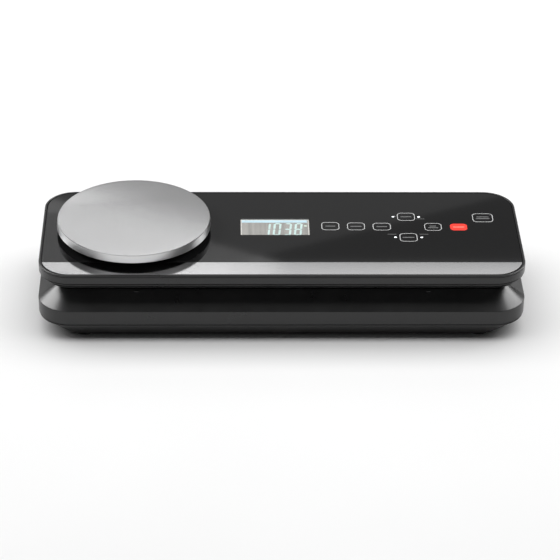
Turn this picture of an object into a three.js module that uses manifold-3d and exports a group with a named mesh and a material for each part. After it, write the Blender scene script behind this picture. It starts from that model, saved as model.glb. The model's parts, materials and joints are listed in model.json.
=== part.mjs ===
// Vacuum sealer with a kitchen scale in its lid. Millimetres, +Z up, +Y to the back.
// The origin is the middle of the footprint, at the level of the table.
import * as THREE from 'three';
import { LoftGeometry } from 'three/addons/geometries/LoftGeometry.js';
import { mergeVertices } from 'three/addons/utils/BufferGeometryUtils.js';
import Module from 'manifold-3d';

const wasm = await Module();
wasm.setup();

// ---- driving dimensions ----
const GAP = 0.3; // between neighbouring pieces
const WALL = 2.4; // the housing's mouldings
const CORNER_STEPS = 5;
const ROUND_STEPS = 14;
const SMALL_STEPS = 8; // screw holes, posts and other small rounds

// Rounded rectangles seen from above, with their middles.
const LID = { width: 400, depth: 140, corner: 26, x: 0, y: 0 };
const BASE = { width: 402.6, depth: 142.6, corner: 27.3, x: 0, y: 0 };
const COVER_FLAT = { width: 365.6, depth: 122.6, corner: 19, x: 0, y: 0 }; // the base's underside
const CHAMBER = { width: 304, depth: 44, corner: 10, x: 0, y: 2 };
const GASKET = { width: 330, depth: 66, corner: 18, x: 0, y: 2 };
const GASKET_WIDTH = 6;

// Heights above the table.
const LID_TOP = 63;
const BAND_BOTTOM = 56;
const LEDGE = { low: 54.8, high: 55.6 }; // under the lid's band
const LID_FLOOR = { bottom: 44.8, top: 47.2 };
const DECK = { bottom: 40, top: 42.3 };
const RIM = { bottom: 17, top: 29.3 };
const COVER = { bottom: 2.6, floor: 5, edge: 16.4 };
const SHELF = { bottom: 59.4, top: 60.9 };
const CHAMBER_FLOOR = 33;
const RIB_TOP = 49.3; // ribs inside the lid, over its two grooves
const RIB_FOOT = 46; // where those ribs start, inside the lid's floor
const LID_GROOVE_ROOF = 46.9;
const BASE_GROOVE_FLOOR = 40.4;
const BAR_SEAT_FLOOR = 38.4;
const BASE_RIB_TOP = 41;
const RIB_WALL = 2.5; // on each side of a gasket's groove

// The lid's top: lip, steel strip and glossy panel.
const LIP = 1.9;
const PANEL_INSET = 2.7;
const PANEL_BOTTOM = SHELF.top + GAP;
const STRIP_BACK = -48.1;
const PANEL_FRONT = -47.8;
const WINDOW = { x0: -34.3, x1: 24, y0: -3.7, y1: 23.4 };
const DISPLAY = { border: 3.2, bottom: 56.4, shoulder: 60.6, face: 61.9 };

// The scale.
const PLATTER = { x: -123.2, y: 5.8, radius: 63.9, top: 74.8, rim: 6.8, sheet: 1 };
const POST_RADIUS = 12;
const PANEL_HOLE = 14.2;
const LOAD_CELL = { x0: -160, x1: -86, half: 6.3, z0: 50.5, z1: 58.5 };
const LOAD_PLATE = { z0: 58.8, z1: 60.6, radius: 15 };
const CARRIER_SCREWS = [-9.4, 9.4]; // along y, from the platter's middle
const CARRIER_BORE = 1.4;
const LOAD_CELL_SCREWS = [-154, -146]; // along x

// Hinge, latch and lid switch.
const HINGE = { x: 120, y: 62, z: 48, knuckle: 10, lug: 5, radius: 4.4, sweep: 6.4 };
const PIN_RADIUS = 1.9;
const PIN_HALF = 15.2; // half its length
const PIN_HOLE = 2.3;
const LATCH = { x: 176, y: -40 };
const BUTTON = { y0: -41.7, y1: -18.3, z0: 20.7, z1: 27.3 };
const SPRING = { y: -22, z: 24, radius: 3, wire: 0.5, turns: 5 };
const SWITCH = { x: -176, y: 20 };

// The sealing bar, across the front.
const SEAL = { half: 156.7, y0: -46.5, y1: -37.1 };

// Screws, feet, ports and the pump.
const LID_SCREWS = [[-182, -22], [182, -22], [-182, 38], [182, 38]];
const BASE_SCREWS = [[-120, -54], [120, -54], [-160, 30], [160, 30]];
const PILOT_RADIUS = 1.5; // the bore for a screw's thread
const FEET = [[-163.4, -50], [163.4, -50], [-163.4, 50], [163.4, 50]];
const FOOT_RADIUS = 10;
const VENTS = { x0: -74, pitch: 8, width: 3, count: 5, y0: 34, y1: 56 }; // under the motor
const PUMP = { y: 46, z: 19.5, x: -23, throw: 1.5, cam: 4, yoke: 7.4 };
const PUMP_PORT = [10, 2];
const VALVE_PORT = [-70, 2];
const PORT_BORE = 1.6;
const HOSE_RADIUS = 2.2;
const VALVE = { x0: -118, x1: -92, y: 43, z: 18 };
const INLET = { x: 150, z: 20, width: 24, height: 14 };
const HOSE_PORT = { x: -150, z: 23.2, radius: 4.3, bore: 3, collar: 5.1 };
const BOARD = { x0: 30, x1: 140, y0: -34, y1: 20, z0: 8.3, z1: 9.9 };
const PANEL_BOARD = { x0: -56, x1: 176.5, y0: -38, y1: 47, z0: 54.5, z1: 56.1, hole: 7 };
const TRANSFORMER = { x: 94, y: 45, z: 20 };

// ---- finishes ----
const finish = (color, roughness, metalness) =>
  new THREE.MeshStandardMaterial({ color, roughness, metalness });
const FINISH = {
  satinBlack: finish(0x2b2b2d, 0.5, 0),
  glossBlack: finish(0x17171a, 0.08, 0),
  matteBlack: finish(0x1d1d1f, 0.7, 0),
  brushedSteel: finish(0xb9babb, 0.35, 1),
  zinc: finish(0x9c9ea0, 0.4, 1),
  aluminium: finish(0xbfc1c4, 0.45, 1),
  brass: finish(0xb08d4a, 0.35, 1),
  rubber: finish(0x161616, 0.9, 0),
  foam: finish(0x2a2a2c, 0.95, 0),
  silicone: finish(0x8d9094, 0.6, 0),
  ptfe: finish(0x9a7f5c, 0.5, 0),
  board: finish(0x1d5a38, 0.5, 0),
  glass: finish(0x8c9894, 0.05, 0),
  copper: finish(0xa9643a, 0.4, 0.8),
  clearHose: finish(0xc9ccca, 0.3, 0),
};

// ---- solids ----
function solid(geometry) {
  const bare = new THREE.BufferGeometry();
  bare.setAttribute('position', geometry.attributes.position);
  bare.setIndex(geometry.index);
  const merged = mergeVertices(bare, 1e-4);
  return new wasm.Manifold(new wasm.Mesh({
    numProp: 3,
    vertProperties: new Float32Array(merged.attributes.position.array),
    triVerts: new Uint32Array(merged.index.array),
  }));
}

const join = (first, ...others) => others.reduce((sum, other) => sum.add(other), first);
const cut = (first, ...others) => others.reduce((rest, other) => rest.subtract(other), first);

function block(x0, x1, y0, y1, z0, z1) {
  const size = [x1 - x0, y1 - y0, z1 - z0].map(Math.abs);
  const geometry = new THREE.BoxGeometry(...size);
  return solid(geometry.translate((x0 + x1) / 2, (y0 + y1) / 2, (z0 + z1) / 2));
}

// A round bar along x, y or z between two stations, centred on the other two coordinates.
function bar(axis, from, to, a, b, radius, steps = ROUND_STEPS) {
  const geometry = new THREE.CylinderGeometry(radius, radius, Math.abs(to - from), steps);
  const middle = (from + to) / 2;
  if (axis === 'x') geometry.rotateZ(Math.PI / 2).translate(middle, a, b);
  if (axis === 'y') geometry.translate(a, middle, b);
  if (axis === 'z') geometry.rotateX(Math.PI / 2).translate(a, b, middle);
  return solid(geometry);
}

// A turned piece about a vertical axis. The profile is [radius, z], anticlockwise from the axis.
function turned(profile, x, y, steps = ROUND_STEPS) {
  const points = profile.map(([r, z]) => new THREE.Vector2(r, z));
  const geometry = new THREE.LatheGeometry(points, steps);
  return solid(geometry.rotateX(Math.PI / 2).translate(x, y, 0));
}

// The outline of a rounded rectangle, moved inwards by inset, at height z.
function outline(box, inset, z) {
  const radius = Math.max(box.corner - inset, 1);
  const cx = box.width / 2 - inset - radius;
  const cy = box.depth / 2 - inset - radius;
  const corners = [[cx, -cy, -90], [cx, cy, 0], [-cx, cy, 90], [-cx, -cy, 180]];
  const points = [];
  for (const [x, y, start] of corners) {
    for (let i = 0; i <= CORNER_STEPS; i++) {
      const angle = THREE.MathUtils.degToRad(start + (90 * i) / CORNER_STEPS);
      const px = box.x + x + radius * Math.cos(angle);
      points.push(new THREE.Vector3(px, box.y + y + radius * Math.sin(angle), z));
    }
  }
  return points;
}

// A solid through rounded rectangles of several sizes: each section is [box, inset, z], going up.
function taper(sections) {
  const outlines = sections.map(([box, inset, z]) => outline(box, inset, z));
  return solid(new LoftGeometry(outlines, { capStart: true, capEnd: true }));
}

// A solid whose side follows one rounded rectangle: the profile is [inset, z], outer side going up.
const loft = (box, profile) => taper(profile.map(([inset, z]) => [box, inset, z]));

// The same as a closed frame: its section is a closed polygon of [inset, z].
function frame(box, section) {
  const sections = [...section, section[0]].map(([inset, z]) => outline(box, inset, z));
  return solid(new LoftGeometry(sections));
}

const ring = (box, outer, inner, z0, z1) =>
  frame(box, [[outer, z0], [outer, z1], [inner, z1], [inner, z0]]);

// A tube with a round section along a smooth curve through the points.
function tube(points, radius, steps) {
  const section = new THREE.Shape();
  section.absarc(0, 0, radius, 0, Math.PI * 2);
  const path = new THREE.CatmullRomCurve3(points.map((p) => new THREE.Vector3(...p)));
  return solid(new THREE.ExtrudeGeometry(section, { steps, extrudePath: path, curveSegments: 4 }));
}

class Helix extends THREE.Curve {
  constructor(x0, x1, y, z, radius, turns) {
    super();
    Object.assign(this, { x0, x1, y, z, radius, turns });
  }

  getPoint(t, target = new THREE.Vector3()) {
    const angle = t * this.turns * Math.PI * 2;
    const x = this.x0 + (this.x1 - this.x0) * t;
    return target.set(x, this.y + this.radius * Math.cos(angle), this.z + this.radius * Math.sin(angle));
  }
}

// ---- the assembly ----
const sealer = new THREE.Group();

function add(name, shape, material) {
  const { vertProperties, triVerts } = shape.getMesh();
  const geometry = new THREE.BufferGeometry();
  geometry.setAttribute('position', new THREE.BufferAttribute(vertProperties, 3));
  geometry.setIndex(new THREE.BufferAttribute(triVerts, 1));
  geometry.computeVertexNormals();
  const mesh = new THREE.Mesh(geometry, material);
  mesh.name = name;
  sealer.add(mesh);
}

const SIDES = [['left', -1], ['right', 1]];

// A screw that goes up from its head, [x, y], between two heights.
function screw(x, y, z0, z1, head, shank) {
  const neck = z0 + head * 0.8;
  return turned([[0, z0], [head * 0.8, z0], [head, z0 + 0.5], [head, neck], [shank, neck],
    [shank, z1 - 1], [0, z1]], x, y, SMALL_STEPS);
}

// ---- lid ----
function lidFrame() {
  const section = [[0, BAND_BOTTOM], [0, LID_TOP - 0.7], [0.7, LID_TOP], [LIP, LID_TOP],
    [LIP, SHELF.top], [8, SHELF.top], [8, SHELF.bottom], [2.4, SHELF.bottom], [2.4, BAND_BOTTOM]];
  let shape = frame(LID, section);
  for (const [x, y] of LID_SCREWS) {
    const side = Math.sign(x);
    const tab = block(side * 178, side * 193, y - 4, y + 4, SHELF.top - 3, SHELF.top);
    const post = bar('z', 50, SHELF.top - 1, x, y, 4, SMALL_STEPS);
    shape = cut(join(shape, tab, post), bar('z', 49, SHELF.top - 2, x, y, PILOT_RADIUS, SMALL_STEPS));
  }
  return shape;
}

const panelBlank = () => loft(LID, [[PANEL_INSET, PANEL_BOTTOM], [PANEL_INSET, LID_TOP - 0.3],
  [PANEL_INSET + 0.3, LID_TOP]]);

function controlPanel() {
  const sheet = panelBlank().intersect(block(-200, 200, PANEL_FRONT, 71, 60, 64));
  const opening = block(WINDOW.x0, WINDOW.x1, WINDOW.y0, WINDOW.y1, 60, 64);
  return cut(sheet, opening, bar('z', 60, 64, PLATTER.x, PLATTER.y, PANEL_HOLE, 32));
}

const trimStrip = () => panelBlank().intersect(block(-200, 200, -71, STRIP_BACK, 60, 64));

// A slab that stands in the panel's display opening, clear of its sides.
const inWindow = (z0, z1) => block(WINDOW.x0 + GAP, WINDOW.x1 - GAP, WINDOW.y0 + GAP, WINDOW.y1 - GAP,
  z0, z1);

const displayWindow = () => inWindow(DISPLAY.face + GAP, LID_TOP - 0.05);

function displayModule() {
  const { border, bottom, shoulder, face } = DISPLAY;
  const body = block(WINDOW.x0 - border, WINDOW.x1 + border, WINDOW.y0 - border, WINDOW.y1 + border,
    bottom, shoulder);
  return join(body, inWindow(shoulder - 1, face));
}

function controlBoard() {
  const { x0, x1, y0, y1, z0, z1, hole } = PANEL_BOARD;
  let shape = block(x0, x1, y0, y1, z0, z1);
  for (const x of [x0 + hole, x1 - hole])
    for (const y of [y0 + hole, y1 - hole])
      shape = cut(shape, bar('z', z0 - 1, z1 + 1, x, y, PILOT_RADIUS, SMALL_STEPS));
  return shape;
}

// What stands up inside the lower half of the lid.
function lidRibs() {
  const sealRib = block(-SEAL.half - 3, SEAL.half + 3, SEAL.y0 - 2, SEAL.y1 + 1.4, RIB_FOOT, RIB_TOP);
  const gasketRib = ring(GASKET, -RIB_WALL, GASKET_WIDTH + RIB_WALL, RIB_FOOT, RIB_TOP);
  const cellSeat = block(LOAD_CELL.x0 - 2, LOAD_CELL.x0 + 19, PLATTER.y - 8, PLATTER.y + 8, RIB_FOOT,
    LOAD_CELL.z0 - GAP);
  let ribs = join(sealRib, gasketRib, cellSeat);
  const { x0, x1, y0, y1, z0, hole } = PANEL_BOARD;
  for (const x of [x0 + hole, x1 - hole])
    for (const y of [y0 + hole, y1 - hole])
      ribs = ribs.add(bar('z', RIB_FOOT, z0 - GAP, x, y, 3, SMALL_STEPS));
  for (const [x, y] of LID_SCREWS) ribs = ribs.add(bar('z', RIB_FOOT, 49.7, x, y, 5, SMALL_STEPS));
  for (const [, side] of SIDES)
    ribs = ribs.add(block(side * HINGE.x - 18.5, side * HINGE.x + 18.5, 50, 66, RIB_FOOT, 57.5));
  return ribs;
}

function lidLowerShell() {
  const outer = loft(LID, [[17, LID_FLOOR.bottom], [13.6, 45.1], [9, 46.4], [5, 48.4], [2.4, 50.8],
    [1, 53.4], [0.6, LEDGE.low], [0.6, LEDGE.high], [2.7, LEDGE.high], [2.7, 59.1]]);
  const cavity = loft(LID, [[18, LID_FLOOR.top], [14.8, 47.5], [10, 49], [7, 50.8], [5, 53.4],
    [5, 59.6]]);
  let shape = outer.subtract(cavity.subtract(lidRibs()));
  const groove = ring(GASKET, -GAP, GASKET_WIDTH + GAP, 44, LID_GROOVE_ROOF);
  const sealGroove = block(-SEAL.half - GAP, SEAL.half + GAP, SEAL.y0 + 0.7, SEAL.y1 - 0.7, 44,
    LID_GROOVE_ROOF);
  shape = cut(shape, groove, sealGroove);
  for (const [x, y] of [...LID_SCREWS, ...LOAD_CELL_SCREWS.map((x) => [x, PLATTER.y])])
    shape = cut(shape, bar('z', 44, 47.6, x, y, 3.2, SMALL_STEPS),
      bar('z', 44, 51, x, y, PILOT_RADIUS, SMALL_STEPS));
  for (const [, side] of SIDES) {
    const x = side * HINGE.x;
    const reach = HINGE.knuckle + HINGE.lug + 1;
    shape = cut(shape, bar('x', x - reach, x + reach, HINGE.y, HINGE.z, HINGE.sweep));
    const knuckle = bar('x', x - HINGE.knuckle, x + HINGE.knuckle, HINGE.y, HINGE.z, HINGE.radius);
    const web = block(x - HINGE.knuckle, x + HINGE.knuckle, 54, HINGE.y + 0.5, 46, 52.2);
    shape = join(shape, knuckle, web);
    shape = cut(shape, bar('x', x - 20, x + 20, HINGE.y, HINGE.z, PIN_HOLE));
    const hx = side * LATCH.x;
    shape = cut(shape, block(hx - 1.6, hx + 1.6, LATCH.y - 3.8, LATCH.y + 3.8, 44, 48));
  }
  return shape;
}

// A hook under the lid: a flange inside, a blade through the floor and a barb that faces inwards.
function latchHook(side) {
  const x = side * LATCH.x;
  const flange = block(x - 4.5, x + 4.5, LATCH.y - 5, LATCH.y + 5, LID_FLOOR.top + GAP, 49);
  const blade = block(x - 1.3, x + 1.3, LATCH.y - 3.5, LATCH.y + 3.5, 35, 48);
  const barb = new THREE.Shape([[0, 35], [1.2, 35], [3.1, 37], [3.1, 37.6], [0, 37.6]]
    .map(([u, z]) => new THREE.Vector2(-u, z)));
  const wedge = new THREE.ExtrudeGeometry(barb, { depth: 7, bevelEnabled: false });
  wedge.rotateX(Math.PI / 2);
  if (side < 0) wedge.rotateZ(Math.PI);
  const shift = side > 0 ? LATCH.y + 3.5 : LATCH.y - 3.5;
  return join(flange, blade, solid(wedge.translate(x, shift, 0)));
}

const pressStrip = () => block(-SEAL.half, SEAL.half, SEAL.y0 + 1, SEAL.y1 - 1, 43.8,
  LID_GROOVE_ROOF - GAP);

function addLid() {
  add('lid_frame', lidFrame(), FINISH.satinBlack);
  add('control_panel', controlPanel(), FINISH.glossBlack);
  add('front_trim_strip', trimStrip(), FINISH.brushedSteel);
  add('display_window', displayWindow(), FINISH.glass);
  add('display_module', displayModule(), FINISH.matteBlack);
  add('control_board', controlBoard(), FINISH.board);
  add('lid_lower_shell', lidLowerShell(), FINISH.satinBlack);
  add('upper_gasket', ring(GASKET, 0, GASKET_WIDTH, 44.1, LID_GROOVE_ROOF - GAP), FINISH.foam);
  add('press_strip', pressStrip(), FINISH.silicone);
  for (const [name, side] of SIDES) add(`latch_hook_${name}`, latchHook(side), FINISH.matteBlack);
  LID_SCREWS.forEach(([x, y], i) => add(`lid_screw_${i + 1}`, screw(x, y, 45.1, 57, 2.8, 1.2),
    FINISH.zinc));
}

// ---- scale ----
function scalePlatter() {
  const { x, y, radius, top, rim, sheet } = PLATTER;
  const bend = 2.2;
  const profile = [[0, top - sheet], [radius - bend, top - sheet], [radius - sheet, top - bend],
    [radius - sheet, top - rim], [radius, top - rim]];
  for (let i = 0; i <= 3; i++) {
    const angle = (Math.PI / 6) * i;
    profile.push([radius - bend + bend * Math.cos(angle), top - bend + bend * Math.sin(angle)]);
  }
  return turned([...profile, [0, top]], x, y, 40);
}

function platterCarrier() {
  const low = PLATTER.top - PLATTER.rim + 0.6;
  const high = PLATTER.top - PLATTER.sheet - GAP;
  const edge = PLATTER.radius - PLATTER.sheet - 0.6;
  const profile = [[0, LOAD_PLATE.z1 + GAP], [POST_RADIUS, LOAD_PLATE.z1 + GAP], [POST_RADIUS, low],
    [edge, low], [edge, high - 2], [edge - 2, high - 2], [edge - 2, low + 2.2], [14, low + 2.2],
    [14, high], [0, high]];
  let shape = turned(profile, PLATTER.x, PLATTER.y, 32);
  for (const offset of CARRIER_SCREWS)
    shape = cut(shape, bar('z', 60, 68, PLATTER.x, PLATTER.y + offset, CARRIER_BORE, SMALL_STEPS));
  return shape;
}

function loadPlate() {
  const { z0, z1, radius } = LOAD_PLATE;
  const disc = bar('z', z0, z1, PLATTER.x, PLATTER.y, radius, 24);
  const tongue = block(PLATTER.x, LOAD_CELL.x1, PLATTER.y - 6.8, PLATTER.y + 6.8, z0, z1);
  let shape = join(disc, tongue);
  for (const offset of CARRIER_SCREWS)
    shape = cut(shape, bar('z', z0 - 1, z1 + 1, PLATTER.x, PLATTER.y + offset, CARRIER_BORE, SMALL_STEPS));
  return shape;
}

// A bending-beam load cell: a bar with two joined bores that leave thin bridges above and below.
function loadCell() {
  const { x0, x1, half, z0, z1 } = LOAD_CELL;
  const y0 = PLATTER.y - half;
  const y1 = PLATTER.y + half;
  const middle = (x0 + x1) / 2;
  const z = (z0 + z1) / 2;
  const bores = [-8, 8].map((offset) => bar('y', y0 - 1, y1 + 1, middle + offset, z, 2.8, 16));
  const holes = LOAD_CELL_SCREWS.map((x) => bar('z', z0 - 1, z0 + 6.5, x, PLATTER.y, PILOT_RADIUS,
    SMALL_STEPS));
  return cut(block(x0, x1, y0, y1, z0, z1), ...bores, ...holes,
    block(middle - 8, middle + 8, y0 - 1, y1 + 1, z - 0.8, z + 0.8));
}

function addScale() {
  add('scale_platter', scalePlatter(), FINISH.brushedSteel);
  add('platter_carrier', platterCarrier(), FINISH.matteBlack);
  add('load_plate', loadPlate(), FINISH.zinc);
  add('load_cell', loadCell(), FINISH.aluminium);
  CARRIER_SCREWS.forEach((offset, i) => add(`carrier_screw_${i + 1}`,
    screw(PLATTER.x, PLATTER.y + offset, 56.6, 66, 2.3, 1.1), FINISH.zinc));
  LOAD_CELL_SCREWS.forEach((x, i) => add(`load_cell_screw_${i + 1}`,
    screw(x, PLATTER.y, 45.1, 56, 2.8, 1.2), FINISH.zinc));
}

// ---- base housing ----
function baseRibs() {
  const chamberWall = loft(CHAMBER, [[-WALL, CHAMBER_FLOOR - WALL], [-WALL, BASE_RIB_TOP]]);
  const gasketRib = ring(GASKET, -RIB_WALL, GASKET_WIDTH + RIB_WALL, 38, BASE_RIB_TOP);
  const sealRib = block(-SEAL.half - 3, SEAL.half + 3, SEAL.y0 - 2.7, SEAL.y1 + 2.7, 36, BASE_RIB_TOP);
  let ribs = join(chamberWall, gasketRib, sealRib);
  for (const [x, y] of BASE_SCREWS)
    ribs = ribs.add(bar('z', RIM.bottom + GAP, BASE_RIB_TOP, x, y, 4, SMALL_STEPS));
  for (const [x, y] of [PUMP_PORT, VALVE_PORT])
    ribs = ribs.add(bar('z', 25, CHAMBER_FLOOR, x, y, 3, SMALL_STEPS));
  return ribs;
}

function hingeLugs(side) {
  const x = side * HINGE.x;
  const { y, z, radius } = HINGE;
  const lugs = [-1, 1].map((end) => {
    const near = x + end * (HINGE.knuckle + 0.5);
    const far = near + end * HINGE.lug;
    return join(bar('x', near, far, y, z, radius), block(near, far, y - radius, y + radius, 34, z));
  });
  return cut(join(...lugs), bar('x', x - 20, x + 20, y, z, PIN_HOLE));
}

function baseShell() {
  const outer = loft(BASE, [[0.5, RIM.bottom], [0, RIM.bottom + 0.5], [0, RIM.top - 0.4],
    [0.4, RIM.top], [15.2, 41.7], [17.5, DECK.top]]);
  const cavity = loft(BASE, [[WALL, RIM.bottom - 0.5], [WALL, 28.4], [16.6, 39.7], [19, DECK.bottom]]);
  let shape = outer.subtract(cavity.subtract(baseRibs()));
  const pocket = loft(CHAMBER, [[0, CHAMBER_FLOOR], [0, 43]]);
  const groove = ring(GASKET, -GAP, GASKET_WIDTH + GAP, BASE_GROOVE_FLOOR, 43);
  const seat = block(-SEAL.half - GAP, SEAL.half + GAP, SEAL.y0 - GAP, SEAL.y1 + GAP, BAR_SEAT_FLOOR, 43);
  shape = cut(shape, pocket, groove, seat);
  for (const [x, y] of BASE_SCREWS)
    shape = cut(shape, bar('z', RIM.bottom, 34, x, y, PILOT_RADIUS, SMALL_STEPS));
  for (const [x, y] of [PUMP_PORT, VALVE_PORT])
    shape = cut(shape, bar('z', 24, 34, x, y, PORT_BORE, SMALL_STEPS));
  for (const [, side] of SIDES) {
    const x = side * LATCH.x;
    const rim = side * BASE.width / 2;
    shape = cut(shape, block(x - 3.5, x + 3.5, LATCH.y - 5.5, LATCH.y + 5.5, 39, 43),
      block(rim - side * 4, rim + side, BUTTON.y0 - GAP, BUTTON.y1 + GAP, BUTTON.z0 - GAP,
        BUTTON.z1 + GAP));
    shape = shape.add(hingeLugs(side));
  }
  const back = BASE.depth / 2;
  const inletHole = block(INLET.x - INLET.width / 2 - GAP, INLET.x + INLET.width / 2 + GAP, back - 10,
    back + 1, RIM.bottom - 1, INLET.z + INLET.height / 2 + GAP);
  return cut(shape, inletHole, bar('z', 39, 43, SWITCH.x, SWITCH.y, 2.2, 16),
    bar('y', back - 4, back + 1, HOSE_PORT.x, HOSE_PORT.z, HOSE_PORT.radius + GAP));
}

function bottomCover() {
  const { bottom, floor, edge } = COVER;
  const outer = taper([[COVER_FLAT, 0.8, bottom], [COVER_FLAT, 0, bottom + 0.4],
    [BASE, 1.8, edge - 1.2], [BASE, 1.5, edge]]);
  const cavity = taper([[COVER_FLAT, 2.4, floor], [COVER_FLAT, 1.5, floor + 0.4],
    [BASE, 4.8, edge - 1.2], [BASE, 1.5 + WALL, edge + 1]]);
  let shape = outer.subtract(cavity);
  for (const [x, y] of BASE_SCREWS) {
    shape = shape.add(bar('z', floor - 1, RIM.bottom - GAP, x, y, 4.5, SMALL_STEPS));
    shape = cut(shape, bar('z', 2, 5.9, x, y, 3.4, SMALL_STEPS),
      bar('z', 2, RIM.bottom, x, y, PILOT_RADIUS, SMALL_STEPS));
  }
  for (const [x, y] of FEET) shape = cut(shape, bar('z', 2, 3.6, x, y, FOOT_RADIUS + GAP, 24));
  for (let i = 0; i < VENTS.count; i++) {
    const x = VENTS.x0 + i * VENTS.pitch;
    shape = cut(shape, block(x, x + VENTS.width, VENTS.y0, VENTS.y1, 2, 6));
  }
  for (const [, side] of SIDES)
    shape = shape.add(block(side * 179.5, side * 183, SPRING.y - 4.5, SPRING.y + 4.5, floor, 29));
  for (const x of [BOARD.x0 + 5, BOARD.x1 - 5])
    for (const y of [BOARD.y0 + 5, BOARD.y1 - 5])
      shape = shape.add(bar('z', floor - 1, BOARD.z0 - GAP, x, y, 3, SMALL_STEPS));
  return cut(shape, block(INLET.x - INLET.width / 2 - GAP, INLET.x + INLET.width / 2 + GAP, 58, 73,
    INLET.z - INLET.height / 2 - GAP, edge + 1));
}

function dripTray() {
  const low = CHAMBER_FLOOR + GAP;
  const outer = loft(CHAMBER, [[0.9, low], [0.5, low + 0.4], [0.5, 41.5]]);
  let shape = outer.subtract(loft(CHAMBER, [[2.4, low + 1.2], [1.8, low + 1.4], [1.8, 42]]));
  for (const [x, y] of [PUMP_PORT, VALVE_PORT]) {
    shape = shape.add(bar('z', low + 0.5, 39.5, x, y, 3.4, 16));
    shape = cut(shape, bar('z', 33, 40, x, y, 2.2, 16));
  }
  return shape;
}

const foot = (x, y) => turned([[0, 0], [9.2, 0], [FOOT_RADIUS, 0.8], [FOOT_RADIUS, 3.3], [0, 3.3]],
  x, y, 24);

function addBase() {
  add('base_shell', baseShell(), FINISH.satinBlack);
  add('bottom_cover', bottomCover(), FINISH.matteBlack);
  FEET.forEach(([x, y], i) => add(`foot_${i + 1}`, foot(x, y), FINISH.rubber));
  BASE_SCREWS.forEach(([x, y], i) => add(`base_screw_${i + 1}`, screw(x, y, 3, 32, 3, 1.2),
    FINISH.zinc));
  add('heating_bar', block(-SEAL.half, SEAL.half, SEAL.y0, SEAL.y1, BAR_SEAT_FLOOR + GAP, 42.4),
    FINISH.aluminium);
  add('heating_strip', block(-150, 150, -44.5, -39.1, 42.7, 42.95), FINISH.brass);
  add('release_tape', block(-155, 155, SEAL.y0 + 0.4, SEAL.y1 - 0.4, 43.25, 43.45), FINISH.ptfe);
  add('lower_gasket', ring(GASKET, 0, GASKET_WIDTH, BASE_GROOVE_FLOOR + GAP, 43.8), FINISH.foam);
  add('drip_tray', dripTray(), FINISH.matteBlack);
}

// ---- hinge pins, latch releases and lid switch ----
// The button stands in the rim; its slider reaches in to the frame that catches the hook.
function releaseButton(side) {
  const b = (x0, x1, y0, y1, z0, z1) => block(side * x0, side * x1, y0, y1, z0, z1);
  const cap = b(197, 201.2, BUTTON.y0, BUTTON.y1, BUTTON.z0, BUTTON.z1);
  const flange = b(195.5, 198.4, BUTTON.y0 - 1.8, BUTTON.y1 + 1.8, BUTTON.z0 - 1, BUTTON.z1 + 0.9);
  const arm = b(186, 196, -34, -26.5, 22, 26);
  const riser = b(186, 190, -38, -29, 22, 33);
  const catchFrame = b(166, 190, -47.5, -32.5, 30, 33);
  return cut(join(cap, flange, arm, riser, catchFrame), b(174, 182, -45.5, -34.5, 29, 34));
}

function buttonSpring(side) {
  const from = side * 183.8;
  const to = side * 194.7;
  const section = new THREE.Shape();
  section.absarc(0, 0, SPRING.wire, 0, Math.PI * 2);
  const path = new Helix(from, to, SPRING.y, SPRING.z, SPRING.radius - SPRING.wire, SPRING.turns);
  const steps = SPRING.turns * 8;
  return solid(new THREE.ExtrudeGeometry(section, { steps, extrudePath: path, curveSegments: 3 }));
}

function lidSwitch() {
  const body = block(SWITCH.x - 5, SWITCH.x + 5, SWITCH.y - 3.5, SWITCH.y + 9, 28, 39.5);
  return cut(body, bar('z', 34, 40, SWITCH.x, SWITCH.y, 2.1, 16));
}

function addMechanism() {
  for (const [name, side] of SIDES) {
    const x = side * HINGE.x;
    add(`hinge_pin_${name}`, bar('x', x - PIN_HALF, x + PIN_HALF, HINGE.y, HINGE.z, PIN_RADIUS, 16),
      FINISH.zinc);
    add(`release_button_${name}`, releaseButton(side), FINISH.satinBlack);
    add(`button_spring_${name}`, buttonSpring(side), FINISH.zinc);
  }
  add('lid_switch', lidSwitch(), FINISH.matteBlack);
  add('switch_plunger', bar('z', 36, 44.4, SWITCH.x, SWITCH.y, 1.7, 16), FINISH.silicone);
}

// ---- vacuum pump, valve and hoses ----
function crankcase() {
  const { x, y, z } = PUMP;
  const body = block(x - 12.4, x + 11, y - 14, y + 14, 6.5, 33);
  const inside = block(x - 10, x + 12, y - 11.8, y + 11.8, 8.5, 30.8);
  return cut(body, inside, bar('x', x - 13, x - 9, y, z, 2.3, 16),
    bar('y', y - 15, y - 11, x, z, 7, 24));
}

function pumpHead() {
  const { x, z } = PUMP;
  const barrel = bar('y', 8, 31.7, x, z, 9.5, 24);
  const nipple = bar('x', x + 8, x + 15, 10.5, z, 2, SMALL_STEPS);
  const bore = bar('y', 12.5, 32, x, z, 7, 24);
  return cut(join(barrel, nipple), bore, bar('x', x, x + 16, 10.5, z, 1, SMALL_STEPS),
    bar('y', 10.5, 13, x, z, 1, SMALL_STEPS));
}

function piston() {
  const { x, y, z, yoke } = PUMP;
  const disc = bar('y', 17, 22, x, z, 6.6, 24);
  const rod = block(x - 2, x + 2, 21, y - yoke - 0.5, z - 2.5, z + 2.5);
  const eye = cut(bar('x', x - 2.5, x + 2.5, y, z, yoke + 2.2, 24),
    bar('x', x - 3, x + 3, y, z, yoke, 24));
  return join(disc, rod, eye);
}

function crankShaft() {
  const { x, y, z } = PUMP;
  const shaft = bar('x', x - 12.7, x + 6, y, z, 1.5, SMALL_STEPS);
  return join(shaft, bar('x', x - 2.5, x + 2.5, y, z + PUMP.throw, PUMP.cam, 20));
}

function pumpMotor() {
  const { x, y, z } = PUMP;
  const can = bar('x', x - 44, x - 14, y, z, 12, 28);
  const boss = bar('x', x - 14.5, x - 13, y, z, 4, 16);
  return join(can, boss, bar('x', x - 47, x - 43, y, z, 5, 16));
}

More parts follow.
